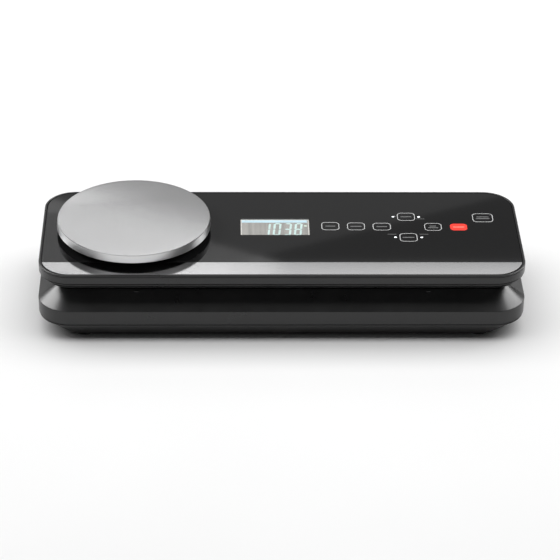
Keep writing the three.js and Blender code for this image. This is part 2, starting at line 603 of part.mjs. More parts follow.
function valveBody() {
  const { x0, x1, y, z } = VALVE;
  const coil = join(block(x0, x1, y - 9, y + 9, z - 9, z + 9),
    bar('x', x0 - 6, x0 + 1, y, z, 2, SMALL_STEPS));
  return cut(coil, bar('x', x1 - 14, x1 + 1, y, z, 3.3, 16));
}

function valvePlunger() {
  const { x1, y, z } = VALVE;
  return join(bar('x', x1 - 11, x1 + 2.5, y, z, 2.8, 16), bar('x', x1 + 1.9, x1 + 4.5, y, z, 4.5, 16));
}

function addPump() {
  add('pump_crankcase', crankcase(), FINISH.matteBlack);
  add('pump_head', pumpHead(), FINISH.matteBlack);
  add('pump_piston', piston(), FINISH.silicone);
  add('pump_crankshaft', crankShaft(), FINISH.zinc);
  add('pump_motor', pumpMotor(), FINISH.zinc);
  add('valve_body', valveBody(), FINISH.copper);
  add('valve_plunger', valvePlunger(), FINISH.zinc);
  const [px, py] = PUMP_PORT;
  const [vx, vy] = VALVE_PORT;
  const head = [PUMP.x + 15.3, 10.5, PUMP.z];
  add('pump_hose', tube([head, [-2, 10.4, 19.5], [4, 8.5, 19.2], [9, 4, 20], [px, py, 22.5],
    [px, py, 24.6]], HOSE_RADIUS, 14), FINISH.clearHose);
  const end = VALVE.x0 - 6.3;
  add('valve_hose', tube([[vx, vy, 24.6], [vx, vy, 22], [vx - 4, vy + 1, 18], [-90, 10, 17], [-118, 20, 17],
    [-134, 32, 17.5], [-134, 41, 18], [end - 3, VALVE.y, VALVE.z], [end, VALVE.y, VALVE.z]],
  HOSE_RADIUS, 30), FINISH.clearHose);
}

// ---- electrics ----
function mainBoard() {
  const { x0, x1, y0, y1, z0, z1 } = BOARD;
  const relay = block(x0 + 14, x0 + 33, y0 + 12, y0 + 27, z1 - 0.1, z1 + 15);
  const heatSink = block(x0 + 50, x0 + 54, y0 + 8, y0 + 34, z1 - 0.1, z1 + 17);
  const capacitors = [0, 12].map((step) => bar('z', z1 - 0.1, z1 + 14, x0 + 70 + step, y0 + 36, 5, 16));
  const terminals = block(x1 - 26, x1 - 8, y0 + 10, y0 + 19, z1 - 0.1, z1 + 10);
  return join(block(x0, x1, y0, y1, z0, z1), relay, heatSink, ...capacitors, terminals);
}

function transformer() {
  const { x, y, z } = TRANSFORMER;
  const core = block(x - 20, x + 20, y - 12, y + 12, z - 12, z + 12);
  const coil = block(x - 12, x + 12, y - 15.5, y + 15.5, z - 8, z + 8);
  return join(core, coil, block(x - 26, x + 26, y - 7, y + 7, z - 12, z - 10.5));
}

// A two-pin mains socket, let into the back.
function mainsInlet() {
  const { x, z, width, height } = INLET;
  const back = BASE.depth / 2 - 0.1;
  const flange = block(x - width / 2, x + width / 2, back - 2, back, z - height / 2, z + height / 2);
  const body = block(x - 10, x + 10, 50, back - 1, z - 6, z + 6);
  const lobes = [-3.7, 3.7].map((offset) => bar('y', 56, back + 1, x + offset, z, 4, 20));
  const socket = join(block(x - 3.7, x + 3.7, 56, back + 1, z - 4, z + 4), ...lobes);
  const pins = [-4.3, 4.3].map((offset) => bar('y', 55, back - 3, x + offset, z, 1.15, SMALL_STEPS));
  return join(cut(join(flange, body), socket), ...pins);
}

// The port for a hose that empties a storage box.
function hosePort() {
  const { x, z, radius, bore, collar } = HOSE_PORT;
  const back = BASE.depth / 2 - 0.1;
  const spout = bar('y', 58, back, x, z, radius, 24);
  const shoulder = bar('y', back - 5, back - 2.7, x, z, collar, 24);
  return cut(join(spout, shoulder), bar('y', 57, back + 1, x, z, bore, 24));
}

function addElectrics() {
  add('main_board', mainBoard(), FINISH.board);
  add('transformer', transformer(), FINISH.copper);
  add('mains_inlet', mainsInlet(), FINISH.matteBlack);
  add('hose_port', hosePort(), FINISH.matteBlack);
}

addLid();
addScale();
addBase();
addMechanism();
addPump();
addElectrics();

export default sealer;
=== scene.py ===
"""Looks for a vacuum sealer with a kitchen scale in its lid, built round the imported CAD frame.

Shapes are worked out in millimetres, in the CAD's own frame, and turned into metres when a mesh
is made. Places come from the CAD nodes' boxes; the named values below only add the fine form.
"""

import json
import math

import bmesh
import bpy
from mathutils import Matrix, Vector


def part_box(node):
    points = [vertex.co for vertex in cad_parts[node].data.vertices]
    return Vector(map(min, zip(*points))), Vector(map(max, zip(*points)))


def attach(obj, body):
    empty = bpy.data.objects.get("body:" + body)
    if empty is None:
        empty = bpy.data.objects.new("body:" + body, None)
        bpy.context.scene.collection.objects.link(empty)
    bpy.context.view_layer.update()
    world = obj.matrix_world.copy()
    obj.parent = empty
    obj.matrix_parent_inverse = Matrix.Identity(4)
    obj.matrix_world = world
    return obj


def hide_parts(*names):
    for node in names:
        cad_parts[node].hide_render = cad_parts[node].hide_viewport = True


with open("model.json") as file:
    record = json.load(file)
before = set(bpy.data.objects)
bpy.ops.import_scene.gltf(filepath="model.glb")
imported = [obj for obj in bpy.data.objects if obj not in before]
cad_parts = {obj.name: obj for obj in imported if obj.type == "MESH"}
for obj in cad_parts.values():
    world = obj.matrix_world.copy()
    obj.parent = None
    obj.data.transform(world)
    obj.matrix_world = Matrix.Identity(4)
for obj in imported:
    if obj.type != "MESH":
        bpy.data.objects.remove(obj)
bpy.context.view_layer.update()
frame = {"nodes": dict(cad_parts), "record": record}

MM = 0.001
GAP = 0.3  # between neighbours that touch
CORNER_STEPS = 22  # points on each rounded corner of an outline
FILLET_STEPS = 5
ROUND_STEPS = 96  # points round a large turned piece
SMALL_STEPS = 32
SMOOTH_BELOW = math.radians(32)
SHARP = 0.01  # the edge of a round cutter that leaves no fillet
MOUTH_SLOPE = math.radians(75)  # how far a hole's rounded mouth turns outwards
MOUTH_FLARE = 1.2
HOLE_LIP = 0.3
SIDES = (("left", -1), ("right", 1))
FOUR = range(1, 5)  # the numbers in the names of the feet and of each set of four screws


def node_box(node):
    """The lowest and highest corner of a CAD node, in millimetres."""
    low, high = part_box(node)
    return low / MM, high / MM


def middle_of(node):
    """The middle of a CAD node's box, in millimetres."""
    low, high = node_box(node)
    return [(low[k] + high[k]) / 2 for k in range(3)]


def round_node(node):
    """Of an upright round CAD node: middle x and y, radius, bottom and top."""
    low, high = node_box(node)
    x, y, _ = middle_of(node)
    return x, y, high.x - x, low.z, high.z


# ---- camera, which comes first ----
CAMERA_PLACE = (-0.05288, -1.79699, 1.10979)
CAMERA_TURN = {"down": 31.303, "left": -1.6685, "roll": 0.8588}  # in degrees
CAMERA_LENS = 159.84


def make_camera():
    data = bpy.data.cameras.new("camera")
    data.lens = CAMERA_LENS
    data.sensor_width = 36.0
    data.clip_start = 0.05
    data.clip_end = 50.0
    camera = bpy.data.objects.new("camera", data)
    turn = Matrix.Rotation(math.radians(CAMERA_TURN["left"]), 4, "Z")
    tilt = Matrix.Rotation(math.radians(90 - CAMERA_TURN["down"]), 4, "X")
    roll = Matrix.Rotation(math.radians(CAMERA_TURN["roll"]), 4, "Z")
    camera.matrix_world = Matrix.Translation(CAMERA_PLACE) @ turn @ tilt @ roll
    bpy.context.scene.collection.objects.link(camera)
    bpy.context.scene.camera = camera


# ---- outlines: each is a function of an inset, and gives (x, y) points anticlockwise ----
def arc(cx, cy, radius, start, end, steps=CORNER_STEPS):
    points = []
    for i in range(steps + 1):
        angle = math.radians(start + (end - start) * i / steps)
        points.append((cx + radius * math.cos(angle), cy + radius * math.sin(angle)))
    return points


def rounded_rectangle(x0, x1, y0, y1, corner, steps=CORNER_STEPS):
    def outline(inset):
        radius = max(corner - inset, 0.05)
        left, right = x0 + inset + radius, x1 - inset - radius
        front, back = y0 + inset + radius, y1 - inset - radius
        corners = ((right, front, -90), (right, back, 0), (left, back, 90), (left, front, 180))
        return [p for cx, cy, start in corners for p in arc(cx, cy, radius, start, start + 90, steps)]

    return outline


def box_outline(node, corner, grow=0.0, steps=CORNER_STEPS):
    """A rounded rectangle round a CAD node, seen from above."""
    low, high = node_box(node)
    return rounded_rectangle(low.x - grow, high.x + grow, low.y - grow, high.y + grow, corner, steps)


def circle(x, y, steps=ROUND_STEPS):
    """This outline takes a radius in place of the inset."""

    def outline(radius):
        return arc(x, y, radius, 0, 360 - 360 / steps, steps - 1)

    return outline


def filleted(points, closed=False):
    """A section whose corners are rounded where a point has a third number, its radius."""
    made = []
    count = len(points)
    for i, point in enumerate(points):
        here = Vector(point[:2])
        if len(point) < 3 or (not closed and i in (0, count - 1)):
            made.append(here)
            continue
        before = Vector(points[i - 1][:2]) - here
        after = Vector(points[(i + 1) % count][:2]) - here
        half = before.angle(after) / 2
        reach = min(point[2] / math.tan(half), 0.48 * before.length, 0.48 * after.length)
        radius = reach * math.tan(half)
        towards = (before.normalized() + after.normalized()).normalized()
        centre = here + towards * radius / math.sin(half)
        spoke = here + before.normalized() * reach - centre
        turn = math.pi - 2 * half
        if before.cross(after) > 0:
            turn = -turn
        for k in range(FILLET_STEPS + 1):
            made.append(centre + Matrix.Rotation(turn * k / FILLET_STEPS, 2) @ spoke)
    return made


# ---- solids ----
# the section's heights run along this axis, and the outline lies in the other two
ALONG = {"x": lambda a, b, height: (height, a, b), "y": lambda a, b, height: (a, height, b),
         "z": lambda a, b, height: (a, b, height)}


def piece_of(name, mesh):
    bmesh.ops.remove_doubles(mesh, verts=mesh.verts, dist=1e-4)
    bmesh.ops.recalc_face_normals(mesh, faces=mesh.faces)
    bmesh.ops.scale(mesh, vec=(MM, MM, MM), verts=mesh.verts)
    data = bpy.data.meshes.new(name)
    mesh.to_mesh(data)
    mesh.free()
    piece = bpy.data.objects.new(name, data)
    bpy.context.scene.collection.objects.link(piece)
    return piece


def wall(mesh, low, high):
    """Faces between two closed loops with the same number of points."""
    for i in range(len(low)):
        j = (i + 1) % len(low)
        mesh.faces.new((low[i], low[j], high[j], high[i]))


def swept(name, outline, section, ring=False, axis="z"):
    """A solid whose side follows an outline. The section is (inset, height[, fillet]) points."""
    mesh = bmesh.new()
    loops = []
    for inset, height in filleted(section, closed=ring):
        loops.append([mesh.verts.new(ALONG[axis](a, b, height)) for a, b in outline(inset)])
    pairs = list(zip(loops, loops[1:]))
    if ring:
        pairs.append((loops[-1], loops[0]))
    for low, high in pairs:
        wall(mesh, low, high)
    if not ring:
        mesh.faces.new(loops[0])
        mesh.faces.new(loops[-1])
    return piece_of(name, mesh)


def block(name, x0, x1, y0, y1, z0, z1, round_edges=0.0):
    """A box with rounded edges."""
    mesh = bmesh.new()
    bmesh.ops.create_cube(mesh, size=1.0)
    low = Vector((min(x0, x1), min(y0, y1), min(z0, z1)))
    high = Vector((max(x0, x1), max(y0, y1), max(z0, z1)))
    for vert in mesh.verts:
        vert.co = Vector(low[k] if vert.co[k] < 0 else high[k] for k in range(3))
    if round_edges:
        bmesh.ops.bevel(mesh, geom=mesh.edges[:], offset=round_edges, segments=3, profile=0.5,
                        affect="EDGES", clamp_overlap=True)
    return piece_of(name, mesh)


def plate(name, outer, holes, z0, z1, edge):
    """A flat sheet with holes; its upper edges and its holes' are rounded."""
    profile = filleted(((0, z0), (0, z1, edge), (edge * 1.01, z1)))
    mesh = bmesh.new()
    sides = []
    for outline, sign in [(outer, 1)] + [(hole, -1) for hole in holes]:
        loops = [[mesh.verts.new((x, y, z)) for x, y in outline(sign * inset)] for inset, z in profile]
        for low, high in zip(loops, loops[1:]):
            wall(mesh, low, high)
        sides.append(loops)
    for end in (0, -1):
        rims = [loops[end] for loops in sides]
        edges = [mesh.edges.get((rim[i - 1], rim[i])) for rim in rims for i in range(len(rim))]
        bmesh.ops.triangle_fill(mesh, use_beauty=True, edges=edges)
    return piece_of(name, mesh)


def bake(piece):
    """The piece's modifiers become its mesh."""
    graph = bpy.context.evaluated_depsgraph_get()
    data = bpy.data.meshes.new_from_object(piece.evaluated_get(graph))
    piece.modifiers.clear()
    piece.data = data


def combine(piece, others, operation):
    for other in others:
        modifier = piece.modifiers.new("combine", "BOOLEAN")
        modifier.operation = operation
        modifier.solver = "MANIFOLD"
        modifier.object = other
    bake(piece)
    for other in others:
        bpy.data.objects.remove(other)
    return piece


def join(piece, *others):
    return combine(piece, others, "UNION")


def cut(piece, *others):
    return combine(piece, others, "DIFFERENCE")


def mouth(lip, top):
    """The end of a cutter's section at a surface: it opens out, so that the edge is rounded."""
    points = []
    for i in range(FILLET_STEPS + 1):
        angle = MOUTH_SLOPE * i / FILLET_STEPS
        points.append((-lip + lip * math.cos(angle), top - lip + lip * math.sin(angle)))
    inset, height = points[-1]
    points.append((inset - MOUTH_FLARE * math.sin(MOUTH_SLOPE), height + MOUTH_FLARE * math.cos(MOUTH_SLOPE)))
    return points


def pocket(outline, floor, top, lip, floor_fillet):
    """A cutter for a pocket with a rounded mouth and a rounded floor edge."""
    section = [(floor_fillet * 2, floor), (0, floor, floor_fillet), (0, (floor + top) / 2), *mouth(lip, top)]
    return swept("cutter", outline, section)


def hole(x, y, radius, bottom, top):
    """A cutter for an upright round hole, whose mouth is at the top."""
    section = [(radius, bottom)] + [(radius - inset, z) for inset, z in mouth(HOLE_LIP, top)]
    return swept("cutter", circle(x, y, SMALL_STEPS), section)


def rod(name, axis, start, end, a, b, radius, edge=0.2, steps=SMALL_STEPS):
    """A round rod along an axis; a and b are its place on the other two."""
    lean = math.copysign(edge, end - start)
    section = [(radius - edge, start), (radius, start + lean), (radius, end - lean), (radius - edge, end)]
    return swept(name, circle(a, b, steps), section, axis=axis)


def bore(axis, start, end, a, b, radius, steps=SMALL_STEPS):
    """A cutter for a plain round hole, with sharp edges."""
    return rod("cutter", axis, start, end, a, b, radius, SHARP, steps)


# ---- materials ----
NOISE_RANGE = (0.3, 0.7)  # where nearly all of a noise's values lie


class Paint:
    """A node material: it wraps the tree and the shader, and adds procedural detail."""

    def __init__(self, name, **values):
        self.material = bpy.data.materials.new(name)
        self.material.use_nodes = True
        self.tree = self.material.node_tree
        self.shader = self.tree.nodes["Principled BSDF"]
        self.fill(self.shader, values)
        coordinates = self.node("TexCoord")
        self.place = coordinates.outputs["Object"]
        self.normal = coordinates.outputs["Normal"]

    def fill(self, node, values):
        """Sets inputs by name; an underscore stands for a space."""
        for socket, value in values.items():
            node.inputs[socket.replace("_", " ")].default_value = value

    def node(self, kind, **values):
        made = self.tree.nodes.new(f"ShaderNode{kind}")
        self.fill(made, values)
        return made

    def link(self, output, target):
        self.tree.links.new(output, target)

    def grain(self, size, detail=3.0, stretch=(1, 1, 1)):
        """Noise whose cells are about size millimetres, drawn out along the axes by stretch."""
        mapping = self.node("Mapping", Scale=[1 / (size * MM * s) for s in stretch])
        self.link(self.place, mapping.inputs["Vector"])
        noise = self.node("TexNoise", Scale=1.0, Detail=detail)
        self.link(mapping.outputs["Vector"], noise.inputs["Vector"])
        return noise.outputs["Fac"]

    def colours(self, fac, dark, light, start=0.35, end=0.65):
        """The base colour goes from dark to light as the value goes from start to end."""
        ramp = self.node("ValToRGB")
        for element, place, colour in zip(ramp.color_ramp.elements, (start, end), (dark, light)):
            element.position = place
            element.color = (*colour, 1)
        self.link(fac, ramp.inputs["Fac"])
        self.link(ramp.outputs["Color"], self.shader.inputs["Base Color"])
        return ramp.outputs["Color"]

    def roughness(self, fac, before, after):
        """The roughness follows a value, which is moved from one range to another."""
        level = self.node("MapRange", From_Min=before[0], From_Max=before[1], To_Min=after[0],
                          To_Max=after[1])
        self.link(fac, level.inputs["Value"])
        self.link(level.outputs["Result"], self.shader.inputs["Roughness"])

    def relief(self, fac, height, strength=1.0):
        """Bump, with its height in millimetres."""
        bump = self.node("Bump", Distance=height * MM, Strength=strength)
        self.link(fac, bump.inputs["Height"])
        self.link(bump.outputs["Normal"], self.shader.inputs["Normal"])


def grey(value):
    return (value, value, value * 1.03)


def shades(colour, dark, light):
    """A darker and a lighter tone of a colour."""
    return [c * dark for c in colour], [min(c * light, 1) for c in colour]


def moulded(name, colour, roughness, grain=0.35, relief=0.012, variation=0.12, **values):
    """Plastic or rubber with a fine moulding texture."""
    paint = Paint(name, **values)
    fine = paint.grain(grain)
    broad = paint.grain(18.0, detail=2.0)
    paint.colours(broad, *shades(colour, 1 - variation, 1 + variation))
    paint.roughness(broad, NOISE_RANGE, (roughness - 0.03, roughness + 0.04))
    paint.relief(fine, relief)
    return paint.material


def brushed(name, colour, roughness, lines_along=0, metallic=1.0, depth=1.0, edge_roughness=None):
    """Metal with fine straight brush lines, and with duller upright edges where they have their own
    roughness. The depth is how strongly the lines show."""
    stretch = [1.0, 1.0, 1.0]
    stretch[lines_along] = 120.0
    paint = Paint(name, Metallic=metallic)
    lines = paint.grain(0.3, detail=2.0, stretch=stretch)
    paint.colours(lines, *shades(colour, 1 - 0.07 * depth, 1 + 0.05 * depth))
    paint.relief(lines, 0.003 * depth)
    if edge_roughness is None:
        paint.roughness(lines, NOISE_RANGE, (roughness - 0.05 * depth, roughness + 0.06 * depth))
    else:
        parts = paint.node("SeparateXYZ")
        paint.link(paint.normal, parts.inputs["Vector"])
        paint.roughness(parts.outputs["Z"], (0.4, 0.9), (edge_roughness, roughness))
    return paint.material


def gloss(name, colour):
    """A high-gloss sheet: only a faint waviness shows in its reflections."""
    paint = Paint(name, Roughness=0.045)
    waves = paint.grain(45.0, detail=1.0)
    dust = paint.grain(2.5, detail=2.0)
    paint.colours(dust, *shades(colour, 0.92, 1.08))
    paint.relief(waves, 0.02, 0.3)
    return paint.material


def lit(name, colour, strength, grain=6.0):
    """A print or segment that gives light, a little uneven."""
    paint = Paint(name, Roughness=0.4, Emission_Strength=strength)
    uneven = paint.grain(grain, detail=1.0)
    shade = paint.colours(uneven, *shades(colour, 0.93, 1.05))
    paint.link(shade, paint.shader.inputs["Emission Color"])
    return paint.material


def printed(name, colour):
    paint = Paint(name, Roughness=0.25)
    speckle = paint.grain(0.5, detail=2.0)
    paint.colours(speckle, *shades(colour, 0.9, 1.08))
    return paint.material


def clear_sheet():
    paint = Paint("clear_glass", Roughness=0.03, Alpha=0.12)
    smears = paint.grain(9.0, detail=2.0)
    paint.colours(smears, (0.55, 0.58, 0.57), (0.66, 0.69, 0.68))
    return paint.material


def crystal():
    """The grey field of the display, with faint upright stripes of unlit segments."""
    paint = Paint("display_field", Roughness=0.35, Emission_Strength=0.75)
    stripes = paint.grain(3.2, detail=1.0, stretch=(1, 60, 60))
    shade = paint.colours(stripes, (0.098, 0.089, 0.080), (0.155, 0.143, 0.131))
    paint.link(shade, paint.shader.inputs["Emission Color"])
    return paint.material


def woven(name, colour):
    """Coated glass cloth: two sets of threads at right angles."""
    paint = Paint(name, Roughness=0.42)
    mix = paint.node("Math")
    mix.operation = "MULTIPLY"
    for socket, direction in zip(mix.inputs, ("X", "Y")):
        wave = paint.node("TexWave", Scale=0.5 / MM, Distortion=0.4)
        wave.bands_direction = direction
        paint.link(paint.place, wave.inputs["Vector"])
        paint.link(wave.outputs["Fac"], socket)
    weave = mix.outputs["Value"]
    paint.colours(weave, *shades(colour, 0.8, 1.15), 0.1, 0.7)
    paint.relief(weave, 0.03)
    return paint.material


def circuit():
    """A green board, mottled by copper areas under its coat."""
    paint = Paint("circuit_board", Roughness=0.4)
    cells = paint.node("TexVoronoi", Scale=180.0)
    cells.distance = "MANHATTAN"
    paint.link(paint.place, cells.inputs["Vector"])
    paint.colours(cells.outputs["Distance"], (0.012, 0.07, 0.03), (0.03, 0.16, 0.07), 0.2, 0.5)
    return paint.material


MATERIALS = {
    "housing_black": moulded("housing_black", grey(0.011), 0.3),
    "lower_housing_black": moulded("lower_housing_black", grey(0.010), 0.42),
    "panel_gloss": gloss("panel_gloss", grey(0.006)),
    "brushed_steel": brushed("brushed_steel", (0.74, 0.74, 0.745), 0.11, depth=0.12,
                             edge_roughness=0.34),
    "display_glass": clear_sheet(),
    "display_body": moulded("display_body", (0.2, 0.19, 0.18), 0.45),
    "inner_plastic": moulded("inner_plastic", grey(0.035), 0.5),
    "circuit_board": circuit(),
    "zinc_steel": brushed("zinc_steel", (0.5, 0.51, 0.52), 0.32),
    "aluminium": brushed("aluminium", (0.7, 0.71, 0.72), 0.36),
    "brass": brushed("brass", (0.66, 0.52, 0.28), 0.28),
    "rubber": moulded("rubber", grey(0.012), 0.75, grain=0.5, relief=0.03),
    "foam_seal": moulded("foam_seal", grey(0.04), 0.85, grain=0.8, relief=0.08, variation=0.3),
    "silicone": moulded("silicone", (0.36, 0.37, 0.38), 0.5, grain=1.2),
    "release_tape": woven("release_tape", (0.36, 0.25, 0.14)),
    "copper": brushed("copper", (0.45, 0.2, 0.09), 0.4, lines_along=1, metallic=0.8),
    "clear_hose": moulded("clear_hose", (0.7, 0.71, 0.7), 0.25, relief=0.0, Transmission_Weight=0.5),
}


def paint_cad_nodes():
    """Each CAD node takes the finish of its slot in the record."""
    slots = {item["node"]: item["material_slot"] for item in frame["record"]["subparts"]}
    for name, node in frame["nodes"].items():
        node.data.materials.clear()
        node.data.materials.append(MATERIALS[slots[name]])
        node.data.shade_smooth()
        node.data.set_sharp_from_angle(angle=SMOOTH_BELOW)


def dress(piece, body, slot=None, node=None, material=None):
    """Smooth shading, finish, body and the CAD node that the piece stands for."""
    piece.data.materials.clear()
    piece.data.materials.append(material or MATERIALS[slot])
    piece.data.shade_smooth()
    piece.data.set_sharp_from_angle(angle=SMOOTH_BELOW)
    normals = piece.modifiers.new("even_normals", "WEIGHTED_NORMAL")
    normals.keep_sharp = True
    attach(piece, body)
    if node:
        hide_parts(node)


# ---- driving sizes, from the frame ----
LID_LOW, LID_HIGH = node_box("lid_frame")
LID_CORNER = 26.0
LID_TOP = LID_HIGH.z
PANEL_LOW, PANEL_HIGH = node_box("control_panel")
STRIP_LOW, STRIP_HIGH = node_box("front_trim_strip")
PANEL_INSET = 2.7
SHEET_EDGE = 0.3  # the rounding of the panel's and the strip's upper edges
POST_HOLE = 14.2  # the radius of the panel's hole for the platter's post
BAND_BOTTOM = 55.2
LIP_SEAM = 61.4  # the thin groove under the lid's top lip
SHELF = (59.4, 60.9)  # the frame's inner flange, under the panel
LEDGE_TOP = 54.4
LEDGE_LOW = 53.6
LID_FLOOR = (44.8, 47.2)
LID_UNDER = 44.0  # where cutters into the lid's underside start
LID_SEAT = 46.9  # how far up the grooves in the lid's underside go
LID_RIBS = (46.0, 49.3)
HULL_STEPS = 14

BASE_LOW, BASE_HIGH = node_box("base_shell")
BASE_CORNER = 27.3
BASE_HALF_DEPTH = 71.3
DECK = 42.3
BASE_RIBS = (38.0, 41.0)
RIM = (17.0, 29.3)
CHAMBER_FLOOR = 33.0
CHAMBER_CORNER = 10.0
TRAY_MARGIN = 0.5  # the chamber, and the moulded tray's foot, past the CAD tray
COLLARS = ((10, 2), (-70, 2))  # round the hose holes in the drip tray
COVER_EDGE = 16.1
COVER_FLOOR = 5.0
COVER_INSET = (0.6, 18.5)  # of its sides, at its upper edge and at its flat underside
VENTS = {"x": -74.0, "pitch": 8.0, "width": 3.0, "count": 5, "y": (34.0, 56.0)}
INLET_LOW, INLET_HIGH = node_box("mains_inlet")

GASKET_WIDTH = 6.0
GASKET_CORNER = 18.0
GASKET_RIB = 2.5  # how far the rib behind a gasket's groove stands past it on each side
HINGE_X = 120.0
HINGE = (62.0, 48.0)  # the axis, in y and z
HINGE_SWEEP = 6.4
KNUCKLE = (10.0, 4.4)  # half width and radius
LUG = 5.0
PIN_HOLE = 2.3
LATCH = (176.0, -40.0)
LID_SCREWS = [(x, y) for y in (-22.0, 38.0) for x in (-182.0, 182.0)]
SCREW_HEAD_HOLE = 3.2
SCREW_HOLE = 1.5
BUTTON = (-41.7, -18.3, 20.7, 27.3)  # a release button's face, in y and z

lid_outline = rounded_rectangle(LID_LOW.x, LID_HIGH.x, LID_LOW.y, LID_HIGH.y, LID_CORNER)
base_outline = rounded_rectangle(BASE_LOW.x, BASE_HIGH.x, -BASE_HALF_DEPTH, BASE_HALF_DEPTH, BASE_CORNER)
gasket_outline = box_outline("lower_gasket", GASKET_CORNER)


def gasket_rib(bottom, top):
    """The thicker ring behind a gasket's groove."""
    near, far = -GASKET_RIB, GASKET_WIDTH + GASKET_RIB
    return swept("rib", gasket_outline, [(near, bottom), (near, top), (far, top), (far, bottom)], ring=True)


def pin_holes():
    """Cutters for the hinge pins' bores."""
    return [bore("x", side * HINGE_X - 20, side * HINGE_X + 20, *HINGE, PIN_HOLE)
            for side in (-1, 1)]


# ---- lid ----
def lid_frame():
    section = [(0, BAND_BOTTOM, 0.3), (0, LIP_SEAM - 0.2, 0.1), (0.5, LIP_SEAM - 0.2), (0.5, LIP_SEAM + 0.2),
               (0, LIP_SEAM + 0.2, 0.1), (0, LID_TOP, 0.7), (1.9, LID_TOP, 0.25), (1.9, SHELF[1]),
               (8, SHELF[1]), (8, SHELF[0]), (2.4, SHELF[0]), (2.4, BAND_BOTTOM)]
    ring = swept("lid_frame_moulding", lid_outline, section, ring=True)
    dress(ring, "lid", "housing_black", "lid_frame")


def clipped_outline(front=None, back=None):
    """The lid's outline, cut off straight at the front or at the back of a line."""
    radius = LID_CORNER - PANEL_INSET
    cx = LID_HIGH.x - LID_CORNER
    cy = LID_HIGH.y - LID_CORNER

    def outline(inset):
        r = radius - inset
        line = (back - inset) if front is None else (front + inset)
        lean = math.degrees(math.asin((-cy - line) / r))
        if front is None:
            return arc(-cx, -cy, r, 180 + lean, 270) + arc(cx, -cy, r, 270, 360 - lean)
        return (arc(cx, -cy, r, -lean, 0, 6) + arc(cx, cy, r, 0, 90)
                + arc(-cx, cy, r, 90, 180) + arc(-cx, -cy, r, 180, 180 + lean, 6))

    return outline


def lid_sheets():
    """The glossy panel, with its two openings, and the steel strip before it."""
    window = box_outline("display_window", 0.6, GAP, 4)
    x, y, _ = middle_of("scale_platter")

    def post_hole(inset):
        return circle(x, y)(POST_HOLE - inset)

    panel = plate("control_panel_sheet", clipped_outline(front=PANEL_LOW.y), [window, post_hole],
                  PANEL_LOW.z, PANEL_HIGH.z, SHEET_EDGE)
    dress(panel, "lid", "panel_gloss", "control_panel")
    strip = plate("trim_strip_sheet", clipped_outline(back=STRIP_HIGH.y), [], STRIP_LOW.z,
                  STRIP_HIGH.z, SHEET_EDGE)
    dress(strip, "lid", "brushed_steel", "front_trim_strip")


def lid_ribs():
    """Thicker places in the lid's floor, for the press strip, gasket, screws, hinges and load cell."""
    bottom, top = LID_RIBS
    low, high = node_box("press_strip")
    ribs = [
        block("rib", low.x - 3, high.x + 3, low.y - 3, high.y + 2.4, bottom, top),
        gasket_rib(bottom, top),
    ]
    for x, y in LID_SCREWS:
        ribs.append(rod("rib", "z", bottom, top + 0.4, x, y, 5))
    for side in (-1, 1):
        x = side * HINGE_X
        ribs.append(block("rib", x - 18.5, x + 18.5, 50, 66, bottom, 57.5))
    low, high = node_box("load_cell")
    ribs.append(block("rib", low.x - 2, low.x + 19, low.y - 1.7, high.y + 1.7, bottom, low.z - GAP))
    return ribs


def hinge_knuckle(x):
    """The lid's part of a hinge: a barrel and the web that carries it."""
    half, radius = KNUCKLE
    y, z = HINGE
    barrel = rod("knuckle", "x", x - half, x + half, y, z, radius, edge=0.4)
    web = block("web", x - half, x + half, y - 8, y + 0.5, LID_RIBS[0], z + 4.2, 0.3)
    return barrel, web


def hull_curve():
    """The lid's underside, which curves in from the ledge to the flat floor."""
    points = [Vector((2.6, LEDGE_LOW)), Vector((3.8, 50.0)), Vector((6.4, 46.2)), Vector((13.6, 45.0))]
    curve = []
    for i in range(HULL_STEPS + 1):
        t = i / HULL_STEPS
        weights = ((1 - t) ** 3, 3 * t * (1 - t) ** 2, 3 * t * t * (1 - t), t ** 3)
        curve.append(tuple(sum((w * p for w, p in zip(weights, points)), Vector((0, 0)))))
    return curve


def lid_cutters():
    """The gasket's groove, the press strip's seat, and room for screws, hinge lugs and latch hooks."""
    near, far = -GAP, GASKET_WIDTH + GAP
    section = [(near - 0.2, LID_UNDER), (near, 45.2), (near, LID_SEAT),
               (far, LID_SEAT), (far, 45.2), (far + 0.2, LID_UNDER)]
    low, high = node_box("press_strip")
    cutters = [swept("cutter", gasket_outline, section, ring=True),
               block("cutter", low.x - GAP, high.x + GAP, low.y - GAP, high.y + GAP, LID_UNDER, LID_SEAT)]
    for x, y in LID_SCREWS + [middle_of(f"load_cell_screw_{i}")[:2] for i in (1, 2)]:
        cutters.append(bore("z", LID_UNDER, 47.6, x, y, SCREW_HEAD_HOLE))
        cutters.append(bore("z", LID_UNDER + 0.5, 51, x, y, SCREW_HOLE))
    reach = KNUCKLE[0] + LUG + 1
    hook_x, hook_y = LATCH
    for side in (-1, 1):
        x = side * HINGE_X
        cutters.append(bore("x", x - reach, x + reach, *HINGE, HINGE_SWEEP, steps=64))
        x = side * hook_x
        cutters.append(block("cutter", x - 1.6, x + 1.6, hook_y - 3.8, hook_y + 3.8, LID_UNDER, 48))
    return cutters


def lid_lower_shell():
    section = [(18, LID_FLOOR[1]), (14.8, LID_FLOOR[1], 2), (5, 52.6, 3), (5, 59.1), (PANEL_INSET, 59.1),
               (PANEL_INSET, LEDGE_TOP), (0.6, LEDGE_TOP, 0.2), (0.6, LEDGE_LOW, 0.2), *hull_curve(),
               (17.2, LID_FLOOR[0])]
    shell = swept("lid_lower_moulding", lid_outline, section)
    join(shell, *lid_ribs())
    cut(shell, *lid_cutters())
    for side in (-1, 1):
        join(shell, *hinge_knuckle(side * HINGE_X))
    cut(shell, *pin_holes())
    dress(shell, "lid", "housing_black", "lid_lower_shell")


